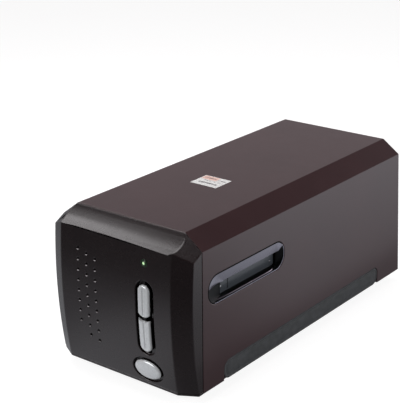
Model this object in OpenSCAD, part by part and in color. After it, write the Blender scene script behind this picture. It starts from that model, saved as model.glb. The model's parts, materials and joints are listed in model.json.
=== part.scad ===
// Desktop film scanner: a narrow, deep housing with a film-holder channel running across it.
// X is width (right as seen from the front), Y runs from front to rear, Z is up.
// The origin is under the middle of the scanner, on the surface that it stands on.

/* [Housing] */
// Overall width
body_w = 120; // [112:1:140]
// Overall depth, button faces included
body_d = 278; // [266:1:300]
// Overall height, feet included
body_h = 119; // [118:1:135]
// Wall thickness of the moulded shells
wall = 2.5; // [2:0.1:3]
// Thickness of the base plate
base_t = 2; // [1.6:0.1:3]
// Width of the long slopes along the top edges, seen from above
edge_w = 13.6; // [10:0.2:16]
// Height of the long slopes along the top edges
edge_h = 10.3; // [8:0.1:12]
// How far the rear end leans in from the bottom to the slopes
rear_lean = 8.5; // [5:0.5:12]
// Gap between housing parts that meet
part_gap = 0.2; // [0.1:0.05:0.4]

/* [Front bezel] */
// Distance from the front of the bezel to its seam with the cover
seam_d = 17.6; // [17.4:0.1:22]
// Radius of the bow of the front, seen from the side
bow_r = 360; // [300:10:600]
// Height of the frontmost line of the bow
bow_z = 72; // [62:1:80]
// Width of the slopes beside the front face
cheek_w = 12.4; // [9:0.2:15]
// Depth of the slopes beside the front face
cheek_d = 7.1; // [5:0.1:10]
// Drop of the hollow slope above the front face
brow_drop = 9.3; // [7:0.1:12]
// Hollow of the slope above the front face
brow_sag = 1.4; // [0.8:0.1:2]
// How far the base plate's edge lies behind the bezel's
plinth_back = 0.6; // [0.2:0.1:1.2]

/* [Front panel] */
// Sideways place of the buttons and the light
panel_x = 25.6; // [23:0.1:27]
// Width of the two scan buttons
scan_w = 9.6; // [8:0.2:11]
// Height of the lower end of the lower scan button
scan_low_z = 35.3; // [34:0.1:38]
// Height of the upper end of the upper scan button
scan_top_z = 83.4; // [80:0.2:86]
// Height of the lower tip of the upper scan button
scan_split_z = 60.5; // [57:0.5:64]
// Gap between the two scan buttons
scan_split = 2.7; // [2:0.1:4]
// Width of the dark gap round the scan buttons
scan_moat = 2.7; // [2:0.1:3]
// How far the scan buttons stand out of the bezel
scan_proud = 1.6; // [1:0.1:2.4]
// Width of the oval power button
power_w = 22.5; // [20:0.5:24]
// Height of the oval power button
power_h = 14.1; // [12:0.1:15]
// Height of the power button's middle
power_z = 20.8; // [20.2:0.1:22]
// Sideways place of the power button's middle
power_x = 24.4; // [23:0.1:26]
// Width of the gap round the power button
power_moat = 1.8; // [1.4:0.1:2]
// How far the power button stands out of the bezel
power_proud = 1.8; // [1:0.1:2.4]
// Travel of every button
press = 0.8; // [0.5:0.1:1]
// How far the status light lies above the middle of the space over the scan buttons
light_lift = 0.3; // [-2:0.1:2]
// Diameter of the status light
light_d = 3.2; // [2.4:0.2:5]
// Diameter of the vent holes
vent_d = 1.6; // [1.2:0.1:2.2]
// Distance between vent holes in a column
vent_pitch = 7.5; // [6:0.1:7.6]
// Distance between vent columns
vent_step = 7.6; // [6:0.1:9]
// Drop of each vent column below the one to its left
vent_drop = 2.2; // [0:0.1:4]
// Height of the highest vent hole
vent_top_z = 94.8; // [92:0.1:96]

/* [Film slot] */
// Distance from the front of the bezel to the slot's pocket
pocket_start = 23.3; // [23:0.1:28]
// Length of the slot's pocket
pocket_l = 86.7; // [86:0.1:92]
// Height of the slot's pocket
pocket_h = 21.1; // [20:0.1:23]
// Height of the pocket's lower edge
pocket_z = 67.7; // [66:0.1:71]
// Corner radius of the pocket
pocket_r = 10; // [6:0.5:10]
// Depth of the pocket's slopes
pocket_d = 5; // [4.5:0.1:6]
// Width of the channel that the film holder slides through
channel_w = 63.5; // [60:0.5:64]
// Height of the channel that the film holder slides through
channel_h = 11.3; // [10:0.1:12]
// Length of the long slope at the pocket's front end
scoop_l = 18.6; // [18:0.1:21]
// Thickness of the dust doors
door_t = 1.5; // [1.2:0.1:2]
// Diameter of the dust door pins
door_pin_d = 2; // [1.6:0.1:2.2]

/* [Rubber parts and label] */
// Distance from the front of the bezel to the side strips
strip_start = 40.5; // [38:0.5:50]
// Length of the side strips
strip_l = 202; // [180:1:205]
// Height of the side strips
strip_h = 14.4; // [12:0.2:16]
// Corner radius of the side strips
strip_r = 6; // [3:0.5:8]
// Depth of the seats of the side strips
strip_seat = 1.4; // [1:0.1:1.5]
// How far the side strips lie below the housing's side
strip_sink = 0.3; // [0.1:0.1:0.5]
// Height of the feet
foot_h = 8; // [6:0.5:9]
// Diameter of the feet
foot_d = 18; // [14:1:20]
// Width of the label on top
label_w = 22.8; // [18:0.2:30]
// Depth of the label on top
label_l = 18.9; // [14:0.1:24]
// Distance from the front of the bezel to the label's middle
label_mid = 104.9; // [60:0.1:200]
// Thickness of the label on top
label_t = 0.2; // [0.1:0.05:0.3]

/* [Optics] */
// Travel of the optical carriage
travel = 40; // [30:1:42]
// Diameter of the guide rods
rod_d = 6; // [5:0.5:7]
// Distance between the guide rods
rod_span = 68; // [66:1:70]
// Width of the optical carriage
carriage_w = 52; // [48:1:53]
// Height of the optical carriage
carriage_h = 32; // [28:0.5:33]
// Wall thickness of the optical carriage
carriage_t = 2; // [1.6:0.1:2.6]
// Diameter of the lens barrel
lens_d = 18; // [14:0.5:20]
// Width of the drive belt
belt_w = 5; // [4:0.5:5]
// Thickness of the drive belt
belt_t = 1.2; // [0.8:0.1:1.4]
// Diameter of the belt pulleys
pulley_d = 12; // [10:0.5:13]
// Diameter of the stepper motor
motor_d = 27; // [24:0.5:28]
// Length of the stepper motor
motor_l = 14; // [12:0.5:15]

/* [Electronics] */
// Thickness of the circuit boards
board_t = 1.6; // [1.2:0.1:2]
// Height of the main board
board_h = 50; // [46:1:54]
// Length of the main board
board_l = 140; // [120:1:144]
// Width of the data port
port_w = 12; // [11:0.5:13]
// Height of the data port
port_h = 10.8; // [10:0.2:11.5]

/* [Hidden] */

// Outer faces and levels of the housing
half_w = body_w / 2;
front_y = -body_d / 2 + scan_proud;
rear_y = body_d / 2;
seam_y = front_y + seam_d;
low_z = foot_h;
foot_in_y = 34;
foot_in_x = 24;
base_top = low_z + base_t;
inner_w = half_w - wall;
far = 2 * body_d;
$fn = 48;

// How far the rear end at height z lies in front of the rearmost line
function lean(z) = rear_lean * (z - low_z) / (body_h - edge_h - low_z);

// Screws
screw_d = 2.5;
pilot_gap = 0.05;
head_d = 5.4;
head_h = 1.5;
boss_d = 9;
boss_h = 4;
cover_boss_h = 8;

// The upright rear panel, sheltered by the leaning end of the cover
panel_t = 2.5;
panel_y1 = rear_y - lean(body_h) - head_h - 0.3;
panel_y0 = panel_y1 - panel_t;

// Levels and places across the film channel
channel_z = pocket_z + 1.2;
channel_top = channel_z + channel_h;
channel_y0 = front_y + pocket_start + scoop_l;
channel_y1 = channel_y0 + channel_w;
channel_y = (channel_y0 + channel_y1) / 2;
mouth_x = half_w - pocket_d;
mouth_t = 1.5;
door_gap = 0.3;
door_x = mouth_x - mouth_t - door_gap;
door_lap = 1.2;
hinge_r = door_pin_d / 2 + 0.9;
hinge_x = door_x - hinge_r;
hinge_z = channel_top + door_t + 0.5;
throat_roof = hinge_z + hinge_r + 0.4;
throat_l = 13.5;
cheek_t = 2;
pin_gap = 0.05;
spring_wire = 0.6;
spring_turns = 6;
spring_l = 8;
track_t = 1.8;
track_half = hinge_x - (hinge_z - channel_z) - 2.5;
gate_w = 42;
gate_l = 36;
leg_w = 4;
leg_x = rod_span / 2 + rod_d / 2 + 5.5;

// Front panel details
scan_x0 = panel_x - scan_w / 2;
scan_tip_r = scan_w * 0.61;
scan_floor = 4.2;
floor_t = 1.8;
power_floor = bow(power_z - power_h / 2) + 2.4;
cup_wall = 1.5;
stem_d = 4;
board_face = 14;
light_z = (scan_top_z + scan_moat + body_h - brow_drop) / 2 + light_lift;
light_seat = 8;
light_collar = 1.2;
switch_w = 6;
switch_t = 3.4;
cap_d = 3.4;
cap_l = 1.6;
stem_end = board_face - switch_t - cap_l;
upper_stem_z = (scan_top_z + scan_split_z) / 2;
lower_stem_z = (scan_low_z + scan_split_z) / 2;
panel_board = [panel_x - 17, panel_x + 16, power_z - 7, light_z + 5];
post_x = 13;
post_z = [scan_low_z + 10, light_z - 6];
vent_counts = [8, 9, 9];
vent_x = -32.1;

// Carriage at home, at the rear end of its travel
scan_line_y = channel_y + travel / 2 + 1.5;
carriage_y0 = scan_line_y - 10;
motor_y = panel_y0 - 3 - motor_d / 2;
rod_y1 = motor_y - motor_d / 2 - 1;
carriage_y1 = rod_y1 - 7;
carriage_l = carriage_y1 - carriage_y0;
carriage_top = channel_z - track_t - 4;
carriage_z = carriage_top - carriage_h;
rod_z = carriage_z - 4;
bush_wall = 2;
bush_gap = 0.05;
bush_l = 14;
rear_bush_in = 32;
front_bush_in = 44;
rear_bush_y = carriage_y1 - rear_bush_in;
front_bush_y = carriage_y0 + front_bush_in;
rod_y0 = carriage_y0 - travel - 9;
bracket_t = 3;
mirror_z = carriage_z + carriage_h * 0.42;
mirror_l = 22;
mirror_t = 2;
lens_y = scan_line_y + 0.4 * carriage_l;
lens_l = 22;
lens_wall = 2.5;
glass_t = 3;
glass_inset = 2;
sensor_w = 30;
sensor_h = 8;
sensor_t = board_t;
arm_z = channel_top + track_t + 5;
arm_h = 10;
post_y = channel_y1 + travel + 4;
post_t = 9;

// Belt drive beside the carriage
belt_x = -(carriage_w / 2 + 1.5 + belt_w / 2);
belt_z = carriage_z + carriage_h * 0.55;
run_gap = 0.15;
idler_y = carriage_y0 - travel - 2;
shaft_d = 3;
clamp_y = post_y + 2;

// Main board on edge along the right side
board_x = half_w - wall - 7;
board_y1 = panel_y0 - 3.7;
board_z = low_z + boss_h + cover_boss_h + 2;
port_z = board_z + 11;
jack_up = 20;
jack_z = port_z + jack_up;
jack_d = 6.4;
front_hole_in = 15;
rear_hole_in = 30;
board_hole_y = [board_y1 - board_l + front_hole_in, board_y1 - rear_hole_in];
board_hole_z = board_z + 5;
// Chips: place along the board and up it, as shares, then length, height and thickness
chips = [[0.49, 0.46, 18, 18, 2], [0.26, 0.5, 12, 10, 1.6]];

// How far the front face lies behind its frontmost line at height z
function bow(z) = pow(z - bow_z, 2) / (2 * bow_r);
// Outline across the housing, drawn in by t, down to height z0
function section(t, z0) =
    let (slope = norm([edge_w, edge_h]),
         knee = body_h - edge_h - t * (slope - edge_h) / edge_w,
         top_x = half_w - edge_w - t * (slope - edge_w) / edge_h)
    [[-half_w + t, z0], [half_w - t, z0], [half_w - t, knee], [top_x, body_h - t],
     [-top_x, body_h - t], [-half_w + t, knee]];
// Points of an ellipse round [x, z]
function oval(x, z, w, h, n = 64) =
    [for (i = [0:n - 1]) [x + w / 2 * cos(360 * i / n), z + h / 2 * sin(360 * i / n)]];
// Points of the spring's centre line: a coil round the pin, then a straight leg upwards
function coil(turns, r, length, leg, steps = 12) = [
    for (i = [0:turns * steps])
        [r * cos(360 * i / steps), length * i / (turns * steps), r * sin(360 * i / steps)],
    [r, length, leg]
];

// A flat shape drawn in X and Z, extruded from y0 to y1
module along_y(y0, y1) {
    translate([0, y1, 0]) rotate([90, 0, 0]) linear_extrude(height = y1 - y0) children();
}

// A flat shape drawn in Y and Z, extruded from x0 to x1
module along_x(x0, x1) {
    translate([x0, 0, 0]) rotate([90, 0, 90]) linear_extrude(height = x1 - x0) children();
}

// A rod along Y
module rod_y(x, z, y0, y1, d) {
    translate([x, y1, z]) rotate([90, 0, 0]) cylinder(d = d, h = y1 - y0);
}

// A rod along X
module rod_x(y, z, x0, x1, d) {
    translate([x0, y, z]) rotate([0, 90, 0]) cylinder(d = d, h = x1 - x0);
}

// A box from one corner to the other
module box(a, b) {
    translate(a) cube(b - a);
}

// A rectangle with round corners
module round_rect(u0, u1, v0, v1, r) {
    translate([u0 + r, v0]) square([u1 - u0 - 2 * r, v1 - v0]);
    translate([u0, v0 + r]) square([u1 - u0, v1 - v0 - 2 * r]);
    for (u = [u0 + r, u1 - r], v = [v0 + r, v1 - r])
        translate([u, v]) circle(r = r);
}

// Everything beyond a plane, on the side that its normal points to
module beyond(point, normal) {
    translate(point)
        rotate([0, acos(normal.z / norm(normal)), atan2(normal.y, normal.x)])
            translate([-far / 2, -far / 2, 0]) cube(far);
}

// Both sides of the scanner
module both_sides() {
    children();
    mirror([1, 0, 0]) children();
}

// Everything behind the leaning rear end
module behind_lean() beyond([0, rear_y, low_z], [0, body_h - edge_h - low_z, rear_lean]);

// The cylinder that the right cheek lies on, drawn in by t
module cheek_form(t) {
    cheek_n = [cheek_d, -cheek_w, 0] / norm([cheek_d, cheek_w]);
    cheek_r = bow_r * norm([cheek_d, cheek_w]) / cheek_w;
    translate([half_w - cheek_w, front_y, bow_z] - cheek_n * cheek_r)
        rotate([0, 0, atan2(cheek_d, cheek_w)]) rotate([0, 90, 0])
            cylinder(r = cheek_r - t, h = far, center = true, $fn = 240);
}

// The solid form of the bezel, drawn in by t, back to y1
module bezel_form(t, y1) {
    $fn = 240;
    face_z = body_h - brow_drop;
    face_y = front_y + bow(face_z);
    chord = [seam_y - face_y, body_h - face_z];
    brow_r = (pow(norm(chord) / 2, 2) + pow(brow_sag, 2)) / (2 * brow_sag);
    brow_mid = [face_y + chord.x / 2, face_z + chord.y / 2];
    brow_c = brow_mid + [-chord.y, chord.x] / norm(chord) * (brow_r - brow_sag);
    corner = [half_w - edge_w, seam_y, body_h];
    shoulder = [half_w, seam_y, body_h - edge_h];
    face_corner = [half_w - cheek_w, face_y, face_z];
    corner_n = cross(face_corner - corner, shoulder - corner);
    difference() {
        intersection() {
            along_y(front_y, y1) polygon(section(t, base_top));
            rod_x(front_y + bow_r, bow_z, -half_w, half_w, 2 * (bow_r - t));
            cheek_form(t);
            mirror([1, 0, 0]) cheek_form(t);
        }
        rod_x(brow_c.x, brow_c.y, -half_w, half_w, 2 * (brow_r + t));
        both_sides() beyond(corner - t * corner_n / norm(corner_n), corner_n);
    }
}

// The recess round both scan buttons, widened by extra
module scan_recess(extra) {
    grow = scan_moat + extra;
    round_rect(scan_x0 - grow, scan_x0 + scan_w + grow, scan_low_z - grow, scan_top_z + grow,
               scan_w / 2 + grow - 0.01);
}

// Screws from below: two hold the bezel and four hold the cover
function base_screw_places() = [
    for (s = [-1, 1]) [s * (half_w - 11), seam_y - 4.4],
    for (s = [-1, 1], y = [seam_y + 12, panel_y0 - 8]) [s * (inner_w - 8), y]
];
// Screws through the rear panel
function panel_screw_places() = [for (s = [-1, 1]) [s * (inner_w - 6), body_h - edge_h - 12]];
// Screws that hold the button board
function board_screw_places() = [for (s = [-1, 1], z = post_z) [panel_x + s * post_x, z]];
// Feet
function foot_places() = [
    for (s = [1, -1], y = [front_y + foot_in_y, rear_y - foot_in_y]) [s * (half_w - foot_in_x), y]
];

module top_cover() color([0.30, 0.26, 0.26]) {
    boss = base_screw_places();
    difference() {
        union() {
            difference() {
                along_y(seam_y, rear_y) polygon(section(0, low_z));
                along_y(seam_y - 1, rear_y + 1) polygon(section(wall, low_z - 1));
                behind_lean();
            }
            for (i = [2:5])
                translate([boss[i].x > 0 ? boss[i].x - boss_d / 2 : -inner_w - 1,
                           boss[i].y - boss_d / 2, low_z + boss_h])
                    cube([inner_w + 1 + boss_d / 2 - abs(boss[i].x), boss_d, cover_boss_h]);
            for (p = panel_screw_places())
                translate([p.x > 0 ? p.x - 4 : -inner_w - 1, panel_y0 - 10, p.y - 4])
                    cube([inner_w + 5 - abs(p.x), 10, 8]);
        }
        along_x(-half_w - 1, half_w + 1)
            round_rect(front_y + pocket_start, front_y + pocket_start + pocket_l,
                       pocket_z, pocket_z + pocket_h, pocket_r);
        both_sides() along_x(half_w - strip_seat, half_w + 1) strip_outline(0);
        translate([-label_w / 2, front_y + label_mid - label_l / 2, body_h - label_t])
            cube([label_w, label_l, 1]);
        for (i = [2:5])
            translate([boss[i].x, boss[i].y, low_z]) cylinder(d = screw_d + 2 * pilot_gap, h = 11.5);
        for (p = panel_screw_places())
            rod_y(p.x, p.y, panel_y0 - 9, panel_y1, screw_d + 2 * pilot_gap);
    }
}

module front_bezel() color([0.16, 0.14, 0.13]) {
    boss = base_screw_places();
    difference() {
        union() {
            difference() {
                bezel_form(0, seam_y - part_gap);
                bezel_form(wall, seam_y + 1);
            }
            intersection() {
                bezel_form(0, seam_y - part_gap);
                bezel_lip(seam_y - 5, seam_y - part_gap, wall - 0.5);
            }
            bezel_lip(seam_y - part_gap, seam_y + 3, wall + part_gap);
            intersection() {
                bezel_form(0, seam_y);
                union() {
                    along_y(front_y, front_y + scan_floor + floor_t) scan_recess(cup_wall);
                    along_y(front_y, front_y + power_floor + floor_t)
                        polygon(oval(power_x, power_z, power_w + 2 * (power_moat + cup_wall),
                                     power_h + 2 * (power_moat + cup_wall)));
                    for (p = board_screw_places())
                        rod_y(p.x, p.y, front_y, front_y + board_face, 5);
                    rod_y(panel_x, light_z, front_y, front_y + light_seat, light_d + 3);
                    for (i = [0:1])
                        translate([boss[i].x, boss[i].y, low_z + boss_h])
                            cylinder(d = 7, h = 9);
                    for (i = [0:1])
                        box([boss[i].x - 1, front_y, low_z + boss_h],
                            [boss[i].x + 1, boss[i].y, low_z + boss_h + 9]);
                }
            }
        }
        along_y(front_y - 1, front_y + scan_floor) scan_recess(0);
        along_y(front_y - 1, front_y + power_floor)
            polygon(oval(power_x, power_z, power_w + 2 * power_moat, power_h + 2 * power_moat));
        for (z = [upper_stem_z, lower_stem_z, power_z])
            rod_y(panel_x, z, front_y, front_y + board_face, stem_d + 0.6);
        rod_y(panel_x, light_z, front_y - 1, front_y + 10, light_d + 2 * pin_gap);
        for (p = board_screw_places())
            rod_y(p.x, p.y, front_y + 7, front_y + board_face + 1, screw_d + 2 * pilot_gap);
        for (c = [0:len(vent_counts) - 1], i = [0:vent_counts[c] - 1])
            rod_y(vent_x + c * vent_step, vent_top_z - c * vent_drop - i * vent_pitch,
                  front_y - 1, front_y + 8, vent_d);
        for (i = [0:1])
            translate([boss[i].x, boss[i].y, low_z]) cylinder(d = screw_d + 2 * pilot_gap, h = 11.5);
    }
}

// The lip of the bezel that reaches inside the cover, between two depths
module bezel_lip(y0, y1, t) {
    difference() {
        along_y(y0, y1) polygon(section(t, base_top + boss_h));
        along_y(y0 - 1, y1 + 1) polygon(section(wall + part_gap + 1.4, base_top));
    }
}

module base_tray() color([0.13, 0.12, 0.12]) {
    inset = wall + part_gap;
    lip_y = front_y + bow(base_top) + plinth_back;
    corner_x = half_w - cheek_w;
    corner_y = lip_y + cheek_d;
    difference() {
        union() {
            translate([0, 0, low_z]) linear_extrude(height = base_t)
                polygon([
                    [-half_w, corner_y], [-corner_x, lip_y], [corner_x, lip_y],
                    [half_w, corner_y], [half_w, seam_y - part_gap], [half_w - inset, seam_y - part_gap],
                    [half_w - inset, rear_y - inset], [-half_w + inset, rear_y - inset],
                    [-half_w + inset, seam_y - part_gap], [-half_w, seam_y - part_gap]]);
            for (p = base_screw_places())
                translate([p.x, p.y, low_z]) cylinder(d = boss_d - 2.4, h = boss_h);
            for (y = board_hole_y)
                box([board_x + board_t, y - 4, base_top - 1], [board_x + board_t + 3.5, y + 4, board_z + 10]);
        }
        for (p = base_screw_places())
            translate([p.x, p.y, low_z]) {
                translate([0, 0, -1]) cylinder(d = screw_d + 0.8, h = boss_h + 2);
                translate([0, 0, -1]) cylinder(d = head_d + 0.6, h = head_h + 1.4);
            }
        for (p = foot_places())
            translate([p.x, p.y, low_z - 1]) cylinder(d = foot_d / 3 + 2 * pin_gap, h = base_t + 2);
        for (y = board_hole_y)
            rod_x(y, board_hole_z, board_x, board_x + board_t + 3, screw_d + 2 * pilot_gap);
    }
}

module rear_panel() color([0.13, 0.12, 0.12]) {
    inset = wall + part_gap;
    difference() {
        along_y(panel_y0, panel_y1) polygon(section(inset, base_top + part_gap));
        along_y(panel_y0 - 1, panel_y1 + 1)
            round_rect(board_x - port_w - 0.3, board_x + 0.3, port_z - port_h / 2 - 0.3,
                       port_z + port_h / 2 + 0.3, 0.6);
        rod_y(board_x - port_w / 2, jack_z, panel_y0 - 1, panel_y1 + 1, jack_d + 3);
        for (p = panel_screw_places())
            rod_y(p.x, p.y, panel_y0 - 1, panel_y1 + 1, screw_d + 0.8);
    }
}

// The frame of the slot in the right side: sloped pocket, mouth and throat
module slot_frame() {
    y0 = front_y + pocket_start;
    y1 = y0 + pocket_l;
    rim = 0.35;
    flange = 2;
    difference() {
        union() {
            along_x(mouth_x - mouth_t, half_w - rim)
                round_rect(y0 + part_gap, y1 - part_gap, pocket_z + part_gap,
                           pocket_z + pocket_h - part_gap, pocket_r - part_gap);
            along_x(mouth_x - mouth_t, inner_w)
                round_rect(y0 - flange, y1 + flange, pocket_z - flange, pocket_z + pocket_h + flange,
                           pocket_r + flange);
            box([mouth_x - mouth_t - throat_l, channel_y0 - door_lap - door_gap - cheek_t,
                 channel_z - track_t],
                [mouth_x - mouth_t, channel_y1 + door_lap + door_gap + cheek_t,
                 throat_roof + cheek_t]);
        }
        hull() {
            along_x(half_w - rim, half_w)
                round_rect(y0 + 0.8, y1 - 0.8, pocket_z + 0.8, pocket_z + pocket_h - 0.8, pocket_r - 0.8,
                           $fn = 32);
            along_x(mouth_x, mouth_x + 0.01)
                round_rect(channel_y0, channel_y1, channel_z, channel_top, 1, $fn = 32);
        }
        along_x(mouth_x - mouth_t - 1, mouth_x + 1)
            round_rect(channel_y0, channel_y1, channel_z, channel_top, 1);
        box([mouth_x - mouth_t - throat_l - 1, channel_y0 - door_lap - door_gap, channel_z - door_gap],
            [mouth_x - mouth_t, channel_y1 + door_lap + door_gap, throat_roof]);
        rod_y(hinge_x, hinge_z, channel_y0 - door_lap - cheek_t + 0.5, channel_y1 + door_lap + 5,
              door_pin_d + 2 * pin_gap);
    }
}

module right_slot_frame() color([0.20, 0.21, 0.24]) slot_frame();
module left_slot_frame() color([0.20, 0.21, 0.24]) mirror([1, 0, 0]) slot_frame();

// The flap behind the slot's mouth, hung on a pin along its upper edge
module dust_door() {
    y0 = channel_y0 - door_lap;
    y1 = channel_y1 + door_lap;
    gap_y = channel_y - spring_l / 2;
    difference() {
        union() {
            box([door_x - door_t, y0, channel_z], [door_x, y1, hinge_z]);
            rod_y(hinge_x, hinge_z, y0, y1, 2 * hinge_r);
        }
        box([hinge_x - hinge_r - 1, gap_y, hinge_z - hinge_r - 0.1],
            [hinge_x + hinge_r + 1, gap_y + spring_l, hinge_z + hinge_r + 1]);
        rod_y(hinge_x, hinge_z, y0 - 1, y1 + 1, door_pin_d + 2 * pin_gap);
    }
}

module right_dust_door() color([0.27, 0.29, 0.32]) dust_door();
module left_dust_door() color([0.27, 0.29, 0.32]) mirror([1, 0, 0]) dust_door();

module door_pin() {
    rod_y(hinge_x, hinge_z, channel_y0 - door_lap - cheek_t + 0.6, channel_y1 + door_lap + cheek_t,
          door_pin_d);
}

module right_door_pin() color("silver") door_pin();
module left_door_pin() color("silver") mirror([1, 0, 0]) door_pin();

// A coil spring round the pin whose leg bears on the throat's roof, swept with six sides
module door_spring() {
    sides = 6;
    path = coil(spring_turns, door_pin_d / 2 + 0.15 + spring_wire / 2, spring_l - 2 * spring_wire,
                throat_roof - hinge_z);
    n = len(path);
    rings = [for (i = [0:n - 1], k = [0:sides - 1])
        let (a = i < n - 1 ? atan2(path[i].z, path[i].x) : 0,
             out = spring_wire / 2 * cos(360 * k / sides),
             side = spring_wire / 2 * sin(360 * k / sides))
        path[i] + [out * cos(a), side, out * sin(a)]];
    skin = [for (i = [0:n - 2], k = [0:sides - 1])
        let (a = i * sides + k, b = i * sides + (k + 1) % sides)
        each [[a, b, b + sides], [a, b + sides, a + sides]]];
    ends = [for (k = [1:sides - 2])
        each [[0, k + 1, k], [(n - 1) * sides, (n - 1) * sides + k, (n - 1) * sides + k + 1]]];
    translate([hinge_x, channel_y - spring_l / 2 + spring_wire, hinge_z])
        polyhedron(points = rings, faces = concat(skin, ends));
}

module right_door_spring() color("silver") door_spring();
module left_door_spring() color("silver") mirror([1, 0, 0]) door_spring();

// Outline of a side strip, drawn in by t
module strip_outline(t) {
    y0 = front_y + strip_start;
    round_rect(y0 + t, y0 + strip_l - t, low_z - 3 * strip_r, low_z + strip_h - t, strip_r - t);
}

module side_strip() {
    edge_r = strip_seat - strip_sink - 0.1;
    intersection() {
        along_x(half_w - strip_seat, half_w - strip_sink) strip_outline(part_gap);
        along_y(front_y, rear_y)
            round_rect(half_w - 3 * strip_seat, half_w - strip_sink, low_z, low_z + 2 * strip_h, edge_r);
    }
}

module right_side_strip() color([0.21, 0.22, 0.23]) side_strip();
module left_side_strip() color([0.21, 0.22, 0.23]) mirror([1, 0, 0]) side_strip();

// A rubber foot with a stud that plugs into the base plate
module foot(i) color([0.10, 0.10, 0.10]) {
    p = foot_places()[i];
    translate([p.x, p.y, 0]) {
        cylinder(d1 = foot_d - 2, d2 = foot_d, h = 1);
        translate([0, 0, 1]) cylinder(d = foot_d, h = foot_h - 1);
        cylinder(d = foot_d / 3, h = base_top);
    }
}

module foot_front_right() foot(0);
module foot_rear_right() foot(1);
module foot_front_left() foot(2);
module foot_rear_left() foot(3);

module top_label() color([0.88, 0.87, 0.86]) {
    translate([-label_w / 2 + 0.1, front_y + label_mid - label_l / 2 + 0.1, body_h - label_t])
        cube([label_w - 0.2, label_l - 0.2, label_t]);
}

module status_light() color([0.35, 0.85, 0.35]) {
    face = front_y + bow(light_z) - 0.6;
    rod_y(panel_x, light_z, face, front_y + board_face, light_d);
    rod_y(panel_x, light_z, front_y + light_seat + part_gap, front_y + light_seat + part_gap + 1,
          light_d + light_collar);
}

module button_board() color([0.05, 0.30, 0.16]) {
    difference() {
        along_y(front_y + board_face, front_y + board_face + board_t)
            round_rect(panel_board[0], panel_board[1], panel_board[2], panel_board[3], 2);
        for (p = board_screw_places())
            rod_y(p.x, p.y, front_y + board_face - 1, front_y + board_face + board_t + 1, screw_d + 0.5);
    }
}

// The body of a push switch at height z, with a bore for its cap
module switch_body(z) color([0.12, 0.12, 0.13]) {
    y1 = front_y + board_face;
    difference() {
        box([panel_x - switch_w / 2, y1 - switch_t, z - switch_w / 2],
            [panel_x + switch_w / 2, y1, z + switch_w / 2]);
        rod_y(panel_x, z, y1 - switch_t - 1, y1 - 0.6, cap_d + 0.16);
    }
}

// The cap of a push switch, which sinks into the body by the travel
module switch_cap(z) color([0.75, 0.72, 0.60]) {
    y1 = front_y + board_face;
    rod_y(panel_x, z, y1 - switch_t - cap_l, y1 - 0.6 - press - 0.2, cap_d);
}

module upper_switch() switch_body(upper_stem_z);
module lower_switch() switch_body(lower_stem_z);
module power_switch() switch_body(power_z);
module upper_switch_cap() switch_cap(upper_stem_z);
module lower_switch_cap() switch_cap(lower_stem_z);
module power_switch_cap() switch_cap(power_z);

// Outline shared by both scan buttons: a strip with round ends
module scan_strip() {
    round_rect(scan_x0, scan_x0 + scan_w, scan_low_z, scan_top_z, scan_w / 2 - 0.01);
}

// The rounded lower tip of the upper scan button, widened by extra, and all above it
module scan_tip(extra) {
    tip_z = scan_split_z + scan_tip_r;
    translate([panel_x, tip_z]) circle(r = scan_tip_r + extra);
    translate([panel_x - scan_w, tip_z]) square([2 * scan_w, body_h]);
}

// A body behind the bowed face that stands out of the bezel by proud
module bowed_front(proud) {
    intersection() {
        rod_x(front_y + bow_r, bow_z, -half_w, half_w, 2 * (bow_r + proud), $fn = 240);
        children();
    }
}

module scan_button(stem_z) {
    bowed_front(scan_proud)
        along_y(front_y - scan_proud, front_y + scan_floor - press - 0.3) children();
    rod_y(panel_x, stem_z, front_y + scan_floor - press - 1, front_y + stem_end, stem_d);
}

module upper_scan_button() color([0.66, 0.66, 0.69]) {
    scan_button(upper_stem_z)
        intersection() {
            scan_strip();
            scan_tip(0);
        }
}

module lower_scan_button() color([0.66, 0.66, 0.69]) {
    scan_button(lower_stem_z)
        difference() {
            scan_strip();
            scan_tip(scan_split);
        }
}

module power_button() color([0.66, 0.66, 0.69]) {
    bowed_front(power_proud)
        along_y(front_y - power_proud, front_y + power_floor - press - 0.3)
            polygon(oval(power_x, power_z, power_w, power_h));
    rod_y(panel_x, power_z, front_y + power_floor - press - 1, front_y + stem_end, stem_d);
}

// Lower guide of the film channel, on four legs, with a window for the light
module film_track_floor() color([0.17, 0.17, 0.18]) {
    y0 = channel_y0 - door_lap - door_gap - cheek_t;
    y1 = channel_y1 + door_lap + door_gap + cheek_t;
    difference() {
        union() {
            box([-track_half, y0, channel_z - track_t], [track_half, y1, channel_z]);
            for (s = [-1, 1], y = [y0, y1 - leg_w])
                translate([s > 0 ? leg_x : -leg_x - leg_w, y, base_top])
                    cube([leg_w, leg_w, channel_z - track_t - base_top]);
            for (y = [y0, y1 - leg_w])
                box([-leg_x - leg_w, y, channel_z - track_t - 3],
                    [leg_x + leg_w, y + leg_w, channel_z - track_t]);
        }
        box([-gate_w / 2, channel_y - gate_l / 2, channel_z - track_t - 1],
            [gate_w / 2, channel_y + gate_l / 2, channel_z + 1]);
    }
}

// Upper guide of the film channel, with side walls that stand on the lower one
module film_track_roof() color([0.17, 0.17, 0.18]) {
    y0 = channel_y0 - door_lap - door_gap - cheek_t;
    y1 = channel_y1 + door_lap + door_gap + cheek_t;
    difference() {
        union() {
            box([-track_half, y0, channel_top], [track_half, y1, channel_top + track_t]);
            for (y = [y0, y1 - cheek_t])
                box([-track_half, y, channel_z], [track_half, y + cheek_t, channel_top]);
        }
        box([-gate_w / 2, channel_y - gate_l / 2, channel_top - 1],
            [gate_w / 2, channel_y + gate_l / 2, channel_top + track_t + 1]);
    }
}

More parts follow.
